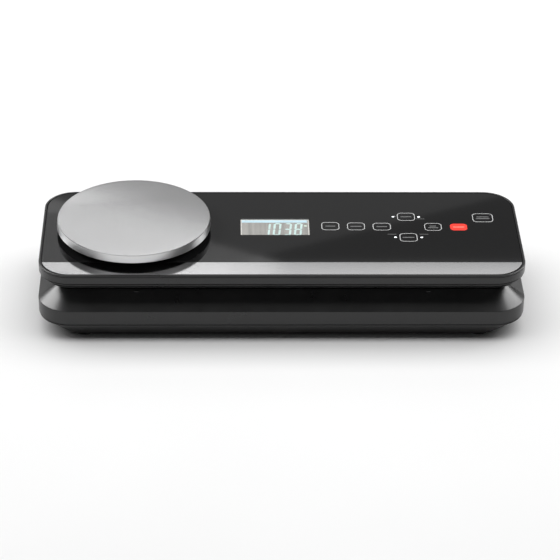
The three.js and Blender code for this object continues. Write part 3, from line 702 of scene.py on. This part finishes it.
def gasket(name, node):
    """A soft ring with a rounded crown; the upper one is crowned downwards."""
    low, high = node_box(node)
    tip, root = (high.z, low.z) if node == "lower_gasket" else (low.z, high.z)
    width = GASKET_WIDTH
    section = [(0, root, 0.3), (0, tip, 1.6), (width / 2, tip + 0.05 * (root - tip)), (width, tip, 1.6),
               (width, root, 0.3)]
    ring = swept(name, gasket_outline, section, ring=True)
    dress(ring, "lid" if node == "upper_gasket" else "base", "foam_seal", node)


def bar(name, node, body, slot, edge):
    """A straight bar with rounded edges, in a CAD node's place."""
    low, high = node_box(node)
    dress(block(name, low.x, high.x, low.y, high.y, low.z, high.z, edge), body, slot, node)


def screw(name, node, body):
    """A pan-head screw with a cross recess; its head is at the bottom."""
    x, y, head, bottom, top = round_node(node)
    neck = bottom + head * 0.8
    shank = head * 0.42
    section = [(head * 0.45, bottom), (head * 0.98, bottom, 0.8), (head, neck, 0.2), (shank, neck),
               (shank, top - 1.2, 0.3), (0.2, top)]
    made = swept(name, circle(x, y, SMALL_STEPS), section)
    length, width, depth = head * 0.62, 0.42, 1.2  # of the cross: half length, half width and depth
    arms = [block("cutter", x - a, x + a, y - b, y + b, bottom - 1, bottom + depth)
            for a, b in ((length, width), (width, length))]
    cut(made, join(*arms))
    dress(made, body, "zinc_steel", node)


# ---- the display ----
DIGIT = (6.5, 20.6, 8.9, 1.8, 0.08)  # width, height, pitch, stroke and slant
READING = "1038"
SEGMENTS = {"0": "abcdef", "1": "bc", "3": "abgcd", "8": "abcdefg"}  # lit in each digit of the reading
DIGITS_INSET = (17.6, 0.3)  # the first digit's corner, from the window's front left corner


def segment_lines(width, height, stroke):
    """Each segment's middle line, as (x0, y0, x1, y1) in a digit's own frame."""
    near, far = stroke / 2, width - stroke / 2
    low, mid, top = stroke / 2, height / 2, height - stroke / 2
    return {
        "a": (near, top, far, top), "g": (near, mid, far, mid), "d": (near, low, far, low),
        "f": (near, mid, near, top), "b": (far, mid, far, top),
        "e": (near, low, near, mid), "c": (far, low, far, mid),
    }


def segment_points(line, stroke):
    """A bar with pointed ends, a little shorter than its middle line."""
    x0, y0, x1, y1 = line
    along = Vector((x1 - x0, y1 - y0)).normalized()
    across = Vector((-along.y, along.x)) * stroke / 2
    start = Vector((x0, y0)) + along * 0.2
    end = Vector((x1, y1)) - along * 0.2
    tip = along * stroke / 2
    return [start, start + tip - across, end - tip - across, end, end - tip + across, start + tip + across]


def display_digits(x, y, z):
    """The reading, with its lower left corner at x and y."""
    mesh = bmesh.new()
    width, height, pitch, stroke, slant = DIGIT
    lines = segment_lines(width, height, stroke)
    for i, digit in enumerate(READING):
        for letter in SEGMENTS[digit]:
            points = segment_points(lines[letter], stroke)
            floors = []
            for rise in (0.0, 0.12):
                floors.append([mesh.verts.new((x + i * pitch + p.x + p.y * slant, y + p.y, z + rise))
                               for p in points])
            low, high = floors
            mesh.faces.new(low[::-1])
            mesh.faces.new(high)
            wall(mesh, low, high)
    digits = piece_of("display_digits", mesh)
    dress(digits, "lid", material=lit("display_digit", (0.27, 0.37, 0.355), 1.0))


def display():
    """The window, and under it the field with its bezel, backlight, digits and unit mark."""
    low, high = node_box("display_window")
    window = plate("display_window_glass", box_outline("display_window", 0.5), [], low.z, high.z, 0.15)
    dress(window, "lid", "display_glass", "display_window")
    face = node_box("display_module")[1].z
    floor = face + 0.06
    field = block("display_field", low.x + 0.2, high.x - 0.2, low.y + 0.2, high.y - 0.2, face, floor, 0.02)
    dress(field, "lid", material=crystal())
    rise, width = floor + 0.14, 0.9
    bezel = swept("display_bezel", box_outline("display_window", 0.4, -0.1, 4),
                  [(0, face), (0, rise), (width, rise), (width, face)], ring=True)
    dress(bezel, "lid", material=lit("display_bezel", (0.42, 0.40, 0.37), 0.7))
    backlight = block("display_backlight_bar", low.x + 1.0, high.x - 1.6, high.y - 4.6, high.y - 1.0,
                      face, floor + 0.1, 0.04)
    dress(backlight, "lid", material=lit("display_backlight", (0.25, 0.37, 0.43), 1.0, grain=25.0))
    display_digits(low.x + DIGITS_INSET[0], low.y + DIGITS_INSET[1], floor)
    mark = block("display_unit_mark", high.x - 4.1, high.x - 2.0, high.y - 11.4, high.y - 8.9, face,
                 floor + 0.06, 0.02)
    dress(mark, "lid", material=lit("display_unit", (0.32, 0.40, 0.33), 0.8))


# ---- printed touch keys ----
# name, middle x, middle y from the lid's front edge, width, depth, lengths of the label's bars
KEYS = [
    ("key_1", 41.4, 80.9, 15.0, 13.1, (8.5,)),
    ("key_2", 63.0, 80.5, 14.9, 12.4, (9.5,)),
    ("key_3", 84.7, 80.1, 15.2, 12.2, (9.0,)),
    ("key_4", 127.8, 79.7, 14.5, 12.4, (5.5, 8.5)),
    ("key_start", 149.4, 79.4, 14.6, 11.4, (9.5,)),
    ("key_upper", 106.1, 96.7, 15.0, 13.1, (9.5,)),
    ("key_lower", 106.1, 62.2, 14.8, 13.5, (10.0,)),
    ("key_corner", 171.0, 95.1, 17.5, 14.3, (10.5, 11.5)),
]
KEY_CORNER = 3.7
KEY_LINE = 0.62
LABEL = {"width": 1.2, "pitch": 2.8}
LAMPS = [(95.1, 96.8), (116.8, 96.5), (95.2, 62.4), (117.1, 62.1)]
LAMP_SIZE = (2.1, 1.7)
CAPTIONS = [(118.0, 93.2, 7.0), (92.5, 67.4, 7.5), (119.3, 67.4, 7.5)]  # middle x and y, length
CAPTION_WIDTH = 0.9
PRINT = 0.02  # a print's thickness


def print_outline(x, y, width, depth, corner, steps):
    return rounded_rectangle(x - width / 2, x + width / 2, y - depth / 2, y + depth / 2, corner, steps)


def printed_bar(name, x, y, width, depth, material, base=LID_TOP):
    """A flat bar with round ends."""
    outline = print_outline(x, y, width, depth, depth / 2 - 0.01, 6)
    dress(swept(name, outline, [(0, base), (0, base + PRINT)]), "lid", material=material)


def touch_keys():
    line = printed("print_line", (0.44, 0.44, 0.44))
    label = printed("print_label", (0.14, 0.14, 0.14))
    red = printed("print_red", (0.86, 0.035, 0.02))
    pale = printed("print_on_red", (0.9, 0.25, 0.2))
    top = LID_TOP + PRINT
    for name, x, y_front, width, depth, bars in KEYS:
        y = y_front + LID_LOW.y
        outline = print_outline(x, y, width, depth, KEY_CORNER, 10)
        if name == "key_start":
            fill = swept(f"{name}_fill", outline, [(0.2, LID_TOP), (0.2, top)])
            dress(fill, "lid", material=red)
            paint, base = pale, top
        else:
            section = [(0, LID_TOP), (0, top), (KEY_LINE, top), (KEY_LINE, LID_TOP)]
            ring = swept(f"{name}_outline", outline, section, ring=True)
            dress(ring, "lid", material=line)
            paint, base = label, LID_TOP
        for i, length in enumerate(bars):
            shift = LABEL["pitch"] * ((len(bars) - 1) / 2 - i)
            printed_bar(f"{name}_mark_{i + 1}", x, y + shift, length, LABEL["width"], paint, base)


def lamps_and_captions():
    glow = lit("lamp_white", (0.9, 0.93, 0.95), 1.3, grain=1.0)
    label = printed("print_caption", (0.09, 0.09, 0.09))
    for i, (x, y) in enumerate(LAMPS):
        printed_bar(f"lamp_{i + 1}", x, y + LID_LOW.y, *LAMP_SIZE, glow)
    for i, (x, y, length) in enumerate(CAPTIONS):
        printed_bar(f"caption_mark_{i + 1}", x, y + LID_LOW.y, length, CAPTION_WIDTH, label)


# ---- scale ----
def platter_cap():
    """The steel cap, a sheet with a turned-down rim that leans outwards."""
    x, y, radius, rim, top = round_node("scale_platter")
    section = [(radius - 8, top - 1), (radius - 1.6, top - 1, 1.2), (radius - 0.6, rim),
               (radius + 0.4, rim, 0.3), (radius - 0.4, top, 0.6), (radius - 6, top)]
    cap = swept("platter_cap", circle(x, y, 160), section)
    dress(cap, "scale", "brushed_steel", "scale_platter")


def platter_carrier():
    """The plastic dish under the cap, with its post."""
    x, y, edge, bottom, top = round_node("platter_carrier")
    post, hub = 12.0, 14.0
    under, floor = 68.6, 70.8
    section = [(post - 2, bottom), (post, bottom, 0.5), (post, under, 1.0), (edge, under, 0.8),
               (edge, top - 2, 0.4), (edge - 2, top - 2), (edge - 2, floor, 0.8),
               (hub, floor, 0.8), (hub, top)]
    carrier = swept("platter_carrier_moulding", circle(x, y), section)
    dress(carrier, "scale", "inner_plastic", "platter_carrier")


# ---- base ----
def base_ribs(chamber):
    """The chamber's walls, and thicker places under the gasket, the sealing bar and for the screws."""
    bottom, top = BASE_RIBS
    low, high = node_box("heating_bar")
    ribs = [swept("rib", chamber, [(-2.4, CHAMBER_FLOOR - 2.4), (-2.4, top)]),
            gasket_rib(bottom, top),
            block("rib", low.x - 3, high.x + 3, low.y - 2.7, high.y + 2.7, 36, top)]
    for i in FOUR:
        x, y, _ = middle_of(f"base_screw_{i}")
        ribs.append(rod("rib", "z", RIM[0] + GAP, top, x, y, 4))
    return ribs


def lug_outline(inset):
    """A hinge lug from the side, in y and z: straight sides and a round top."""
    y, z = HINGE
    radius = KNUCKLE[1] - inset
    return [(y - radius, DECK - 2), (y + radius, DECK - 2)] + arc(y, z, radius, 0, 180)


def hinge_lugs(x):
    """The base's part of a hinge: a lug on each side of the lid's knuckle."""
    lugs = []
    for end in (-1, 1):
        near = x + end * (KNUCKLE[0] + 0.5)
        far = near + end * LUG
        a, b = min(near, far), max(near, far)
        section = [(0.4, a), (0, a + 0.4), (0, b - 0.4), (0.4, b)]
        lugs.append(swept("lug", lug_outline, section, axis="x"))
    return lugs


def side_opening(side):
    """The hole in the rim for a release button."""
    y0, y1, z0, z1 = BUTTON
    outline = rounded_rectangle(y0 - GAP, y1 + GAP, z0 - GAP, z1 + GAP, 1.6, 8)
    surface = BASE_HIGH.x
    section = [(0, surface - 4.5)] + mouth(0.5, surface)
    return swept("cutter", outline, [(inset, side * x) for inset, x in section], axis="x")


def base_cutters(chamber):
    """The chamber, the gasket's groove, the sealing bar's seat and the openings in the deck and rim."""
    near, far, lip = -GAP, GASKET_WIDTH + GAP, DECK - 0.05
    groove = [(near - 0.35, DECK + 1), (near - 0.25, lip), (near, DECK - 0.35), (near, 40.4),
              (far, 40.4), (far, DECK - 0.35), (far + 0.25, lip), (far + 0.35, DECK + 1)]
    cutters = [pocket(chamber, CHAMBER_FLOOR, DECK, 0.8, 1.2),
               swept("cutter", gasket_outline, groove, ring=True),
               pocket(box_outline("heating_bar", 1.0, GAP, 6), 38.4, DECK, 0.4, 0.2)]
    hook_x, hook_y = LATCH
    for side in (-1, 1):
        x = side * hook_x
        slot = rounded_rectangle(x - 3.5, x + 3.5, hook_y - 5.5, hook_y + 5.5, 1.2, 6)
        cutters.append(pocket(slot, 39, DECK, 0.5, 0.1))
        cutters.append(side_opening(side))
    x, y, _ = middle_of("switch_plunger")
    cutters.append(hole(x, y, 2.2, 39, DECK))
    inlet = rounded_rectangle(INLET_LOW.x - GAP, INLET_HIGH.x + GAP, RIM[0] - 1, INLET_HIGH.z + GAP, 1.2, 6)
    cutters.append(swept("cutter", inlet, [(0, 60), (0, 73)], axis="y"))
    x, _, z = middle_of("hose_port")
    cutters.append(bore("y", 66, 73, x, z, 4.6, steps=48))
    return cutters


def base_shell():
    chamber = box_outline("drip_tray", CHAMBER_CORNER, TRAY_MARGIN)
    section = [(19, 40), (16.4, 40, 1.2), (2.4, 28.4, 1), (2.4, RIM[0]), (0, RIM[0], 0.2), (0, RIM[1], 0.8),
               (15.9, DECK, 2.6), (19, DECK)]
    shell = swept("base_shell_moulding", base_outline, section)
    join(shell, *base_ribs(chamber))
    cut(shell, *base_cutters(chamber))
    for side in (-1, 1):
        join(shell, *hinge_lugs(side * HINGE_X))
    cut(shell, *pin_holes())
    dress(shell, "base", "housing_black", "base_shell")


def cover_outline(inset):
    """The cover's sides slope in twice as far as its front and back; the inset is the sides' own."""
    start = COVER_INSET[0]
    depth_inset = start + (inset - start) / 2
    corner = BASE_CORNER - start - 0.4 * (inset - start)
    return rounded_rectangle(BASE_LOW.x + inset, BASE_HIGH.x - inset, -BASE_HALF_DEPTH + depth_inset,
                             BASE_HALF_DEPTH - depth_inset, corner)(0)


def cover_posts():
    """Posts for the screws and the main board, and the stops behind the button springs."""
    posts = []
    for i in FOUR:
        x, y, _ = middle_of(f"base_screw_{i}")
        posts.append(rod("post", "z", 4, RIM[0] - GAP, x, y, 4.5))
    low, high = node_box("main_board")
    for x in (low.x + 5, high.x - 5):
        for y in (low.y + 5, high.y - 5):
            posts.append(rod("post", "z", 4, low.z - GAP, x, y, 3))
    for name, side in SIDES:
        y = middle_of(f"button_spring_{name}")[1]
        posts.append(block("stop", side * 179.5, side * 183, y - 4.5, y + 4.5, COVER_FLOOR, 29, 0.3))
    return posts


def cover_cutters():
    """Screw holes, the feet's seats, the vents and the notch for the mains inlet."""
    cutters = []
    for i in FOUR:
        x, y, _ = middle_of(f"base_screw_{i}")
        cutters.append(bore("z", 2, 5.9, x, y, SCREW_HEAD_HOLE + 0.2))
        cutters.append(bore("z", 5, 19, x, y, SCREW_HOLE))
        x, y, _ = middle_of(f"foot_{i}")
        cutters.append(bore("z", 2, 3.6, x, y, 10.3, steps=64))
    for i in range(VENTS["count"]):
        x = VENTS["x"] + VENTS["pitch"] * i
        slot = rounded_rectangle(x, x + VENTS["width"], *VENTS["y"], VENTS["width"] / 2 - 0.05, 8)
        cutters.append(swept("cutter", slot, [(-0.4, 2), (-0.4, 2.6), (0, 3.0), (0, 6)]))
    cutters.append(block("cutter", INLET_LOW.x - GAP, INLET_HIGH.x + GAP, 58, 73, INLET_LOW.z - GAP,
                         COVER_EDGE + 1))
    return cutters


def bottom_cover():
    bottom = node_box("bottom_cover")[0].z
    top, flat = COVER_INSET
    section = [(flat + 4, COVER_FLOOR), (flat + 1.5, COVER_FLOOR, 0.8), (4.8, 15.2), (3.9, COVER_EDGE),
               (top, COVER_EDGE, 0.15), (top, COVER_EDGE - 1, 0.15), (top + 0.9, COVER_EDGE - 1.2, 0.4),
               (flat - 0.4, bottom, 1.0), (flat + 4, bottom)]
    cover = swept("bottom_cover_moulding", cover_outline, section)
    join(cover, *cover_posts())
    cut(cover, *cover_cutters())
    dress(cover, "base", "lower_housing_black", "bottom_cover")


def feet():
    """Rubber pads, each with a dished underside."""
    for i in FOUR:
        x, y, radius, ground, top = round_node(f"foot_{i}")
        dish = ground + 0.5
        section = [(radius * 0.52, dish), (radius * 0.6, dish, 0.3), (radius * 0.66, ground, 0.3),
                   (radius, ground, 0.9), (radius, top), (radius * 0.5, top)]
        foot = swept(f"foot_pad_{i}", circle(x, y, 64), section)
        dress(foot, "base", "rubber", f"foot_{i}")


def release_tape():
    """The glass cloth over the heating strip: crowned across, and faintly rippled along its length."""
    low, high = node_box("release_tape")
    columns, rows, crown, ripple = 48, 6, 0.1, 0.3
    path = [(j, low.z) for j in range(rows + 1)] + [(j, high.z) for j in range(rows, -1, -1)]
    mesh = bmesh.new()
    loops = []
    for i in range(columns + 1):
        x = low.x + (high.x - low.x) * i / columns
        height = crown * (1 + ripple * math.sin(i * 0.9))
        loops.append([mesh.verts.new((x, low.y + (high.y - low.y) * j / rows,
                                      base + height * math.sin(math.pi * j / rows))) for j, base in path])
    for before, after in zip(loops, loops[1:]):
        wall(mesh, before, after)
    mesh.faces.new(loops[0])
    mesh.faces.new(loops[-1])
    tape = piece_of("release_tape_cloth", mesh)
    dress(tape, "base", "release_tape", "release_tape")


def drip_tray():
    """The tray, with a collar round each hose hole."""
    low, high = node_box("drip_tray")
    floor, rim = low.z + 1.3, 39.5
    section = [(6, floor), (1.8, floor, 1.6), (1.8, high.z, 0.5), (0.5, high.z, 0.5), (0.6, low.z, 0.8),
               (6, low.z)]
    tray = swept("drip_tray_moulding", box_outline("drip_tray", CHAMBER_CORNER, TRAY_MARGIN), section)
    join(tray, *[rod("collar", "z", low.z + 0.5, rim, x, y, 3.4, edge=0.5, steps=48) for x, y in COLLARS])
    cut(tray, *[hole(x, y, 2.2, 32, rim) for x, y in COLLARS])
    dress(tray, "base", "inner_plastic", "drip_tray")


# x, y and z of each block of the right button's slider, from the face inwards
SLIDER = [
    (195.5, 198.4, -43.5, -16.5, 19.7, 28.2),  # flange behind the rim
    (186, 196, -34, -26.5, 22, 26),  # stem
    (186, 190, -38, -29, 22, 33),  # riser
    (166, 190, -47.5, -32.5, 30, 33),  # catch plate
]
CATCH_WINDOW = (174, 182, -45.5, -34.5, 29, 34)


def release_buttons():
    """The cap in the rim with grip ribs, and the slider that reaches the latch."""
    for name, side in SIDES:
        def part(x0, x1, y0, y1, z0, z1, edge=0.0):
            return block("part", side * x0, side * x1, y0, y1, z0, z1, edge)

        section = [(0, side * 197.0), (0, side * 200.9, 0.7), (2.4, side * 201.2)]
        cap = swept(f"release_button_cap_{name}", rounded_rectangle(*BUTTON, 1.4, 8), section, axis="x")
        cut(cap, *[part(200.5, 202, y - 0.55, y + 0.55, 22.2, 25.8) for y in range(-36, -23, 2)])
        join(cap, *[part(*numbers, 0.3) for numbers in SLIDER])
        cut(cap, part(*CATCH_WINDOW))
        dress(cap, f"release_{name}", "housing_black", f"release_button_{name}")


def switch_plunger():
    x, y, radius, bottom, top = round_node("switch_plunger")
    section = [(radius - 0.3, bottom), (radius, bottom + 0.3), (radius, top, 0.7), (0.3, top)]
    plunger = swept("lid_switch_plunger", circle(x, y, SMALL_STEPS), section)
    dress(plunger, "switch", "silicone", "switch_plunger")


def hinge_pins():
    for name, _ in SIDES:
        low, high = node_box(f"hinge_pin_{name}")
        pin = rod(f"hinge_pin_rod_{name}", "x", low.x, high.x, *HINGE, high.y - HINGE[0], edge=0.5)
        dress(pin, "base", "zinc_steel", f"hinge_pin_{name}")


def mains_inlet():
    """A two-pin inlet: a flange, the body behind it, the socket with round ends and its pins."""
    low, high, back = INLET_LOW, INLET_HIGH, INLET_HIGH.y
    x, _, z = middle_of("mains_inlet")
    section = [(0.2, back - 2), (0, back - 1.8), (0, back, 0.5), (1.5, back)]
    flange = swept("mains_inlet_socket", rounded_rectangle(low.x, high.x, low.z, high.z, 2.0, 8), section,
                   axis="y")
    join(flange, block("part", x - 10, x + 10, 50, back - 1, z - 6, z + 6, 0.4))
    socket = rounded_rectangle(x - 7.7, x + 7.7, z - 4, z + 4, 3.98, 12)
    cut(flange, swept("cutter", socket, [(0, 56)] + mouth(0.5, back), axis="y"))
    join(flange, *[rod("pin", "y", 55, back - 3, x + shift, z, 1.15, edge=0.35) for shift in (-4.3, 4.3)])
    dress(flange, "base", "inner_plastic", "mains_inlet")


def hose_port():
    """A spout with a ridge that holds the hose."""
    back = node_box("hose_port")[1].y
    x, _, z = middle_of("hose_port")
    inner, outer, ridge = 3.0, 4.3, 5.1
    section = [(inner, 58), (outer, 58), (outer, back - 5), (ridge, back - 5, 0.3), (ridge, back - 2.7, 0.3),
               (outer, back - 2.7), (outer, back, 0.5), (inner, back, 0.4)]
    port = swept("hose_port_spout", circle(x, z, 48), section, ring=True, axis="y")
    dress(port, "base", "inner_plastic", "hose_port")


# ---- floor and light ----
ROOM = (0.06, 0.06, 0.06)  # what the object mirrors where there is no light
HORIZON = (0.95, 0.95, 0.95)  # what the camera sees behind the floor
FLOOR_HALF = 4000  # in millimetres

# the side boxes are for the housing's corners: on these they make hard spots and crossed shadows
DULL = ["floor", "platter_cap", "trim_strip_sheet"]
LIGHTS = [  # name, place, target, width, depth, radiance, roll, light linking; in metres and degrees
    ("left_box", (-1.075, 0.28, 0.875), (-0.19, -0.06, 0.035), 1.2, 0.6, 11.0, 44, ("EXCLUDE", DULL)),
    ("right_box", (1.075, 0.28, 0.875), (0.19, -0.06, 0.035), 1.2, 0.6, 9.0, -44, ("EXCLUDE", DULL)),
    ("floor_light", (0, 0.15, 1.7), (0, 0.15, 0), 6.0, 1.9, 2.35, 0, ("INCLUDE", ["floor"])),
    ("overhead", (0, 0.1, 1.7), (0, 0.1, 0), 2.4, 1.2, 1.0, 0, ("EXCLUDE", ["floor"])),
    ("front_fill", (-0.9, -2.3, 1.4), (0, 0, 0.05), 3.0, 1.2, 0.7, 0, ("EXCLUDE", ["floor"])),
    ("back_wall", (0, 2.6, 1.6), (0, 0, 1.6), 5.0, 2.4, 0.1, 0, None),
    ("low_card", (-0.185, 0.9, 0.364), (-0.185, 0, 0.364), 1.4, 0.6, 0.18, 16.4, None),
    ("left_glow", (-0.49, 0.9, 0.779), (-0.49, 0, 0.779), 0.9, 0.6, 1.0, -17.9, None),
    ("right_glow", (0.38, 0.9, 0.832), (0.38, 0, 0.832), 0.84, 0.4, 0.68, 0, None),
]


def stage_floor():
    mesh = bmesh.new()
    bmesh.ops.create_grid(mesh, x_segments=8, y_segments=8, size=FLOOR_HALF)
    floor = piece_of("floor", mesh)
    paint = Paint("floor", Roughness=0.9, Specular_IOR_Level=0.0)
    mottle = paint.grain(400.0)
    paint.colours(mottle, (0.86, 0.86, 0.86), (0.88, 0.88, 0.88))
    floor.data.materials.append(paint.material)


def softbox(name, place, target, width, depth, radiance, roll):
    """An area light that the camera doesn't see; its strength is its radiance, so size doesn't dim it."""
    data = bpy.data.lights.new(name, "AREA")
    data.shape = "RECTANGLE"
    data.size = width
    data.size_y = depth
    data.energy = radiance * width * depth * math.pi
    light = bpy.data.objects.new(name, data)
    aim = (Vector(target) - Vector(place)).to_track_quat("-Z", "Y").to_matrix().to_4x4()
    light.matrix_world = Matrix.Translation(place) @ aim @ Matrix.Rotation(math.radians(roll), 4, "Z")
    light.visible_camera = False
    bpy.context.scene.collection.objects.link(light)
    return light


def link_light(light, state, names):
    """The light is only for these pieces (INCLUDE), or for all but them (EXCLUDE)."""
    group = bpy.data.collections.new(f"{light.name}_receivers")
    for name in names:
        group.objects.link(bpy.data.objects[name])
    for member in group.collection_objects:
        member.light_linking.link_state = state
    light.light_linking.receiver_collection = group


def studio_world():
    """Pale behind the floor's far edge, and dark wherever the object would mirror it."""
    world = bpy.data.worlds.new("studio")
    world.use_nodes = True
    nodes, links = world.node_tree.nodes, world.node_tree.links
    room = nodes["Background"]
    room.inputs["Color"].default_value = (*ROOM, 1)
    sky = nodes.new("ShaderNodeBackground")
    sky.inputs["Color"].default_value = (*HORIZON, 1)
    path = nodes.new("ShaderNodeLightPath")
    mix = nodes.new("ShaderNodeMixShader")
    links.new(path.outputs["Is Camera Ray"], mix.inputs["Fac"])
    links.new(room.outputs["Background"], mix.inputs[1])
    links.new(sky.outputs["Background"], mix.inputs[2])
    links.new(mix.outputs["Shader"], nodes["World Output"].inputs["Surface"])
    bpy.context.scene.world = world


def studio():
    bpy.context.scene.view_settings.view_transform = "Standard"
    studio_world()
    for *box, linking in LIGHTS:
        light = softbox(*box)
        if linking:
            link_light(light, *linking)


make_camera()
paint_cad_nodes()
lid_frame()
lid_sheets()
lid_lower_shell()
gasket("upper_gasket_foam", "upper_gasket")
bar("press_strip_rubber", "press_strip", "lid", "silicone", 0.9)
display()
touch_keys()
lamps_and_captions()
platter_cap()
platter_carrier()
base_shell()
bottom_cover()
feet()
bar("heating_bar_body", "heating_bar", "base", "aluminium", 0.5)
release_tape()
gasket("lower_gasket_foam", "lower_gasket")
drip_tray()
release_buttons()
switch_plunger()
hinge_pins()
mains_inlet()
hose_port()
for number in FOUR:
    screw(f"lid_screw_head_{number}", f"lid_screw_{number}", "lid")
    screw(f"base_screw_head_{number}", f"base_screw_{number}", "base")
for number in (1, 2):
    screw(f"load_cell_screw_head_{number}", f"load_cell_screw_{number}", "lid")
stage_floor()
studio()
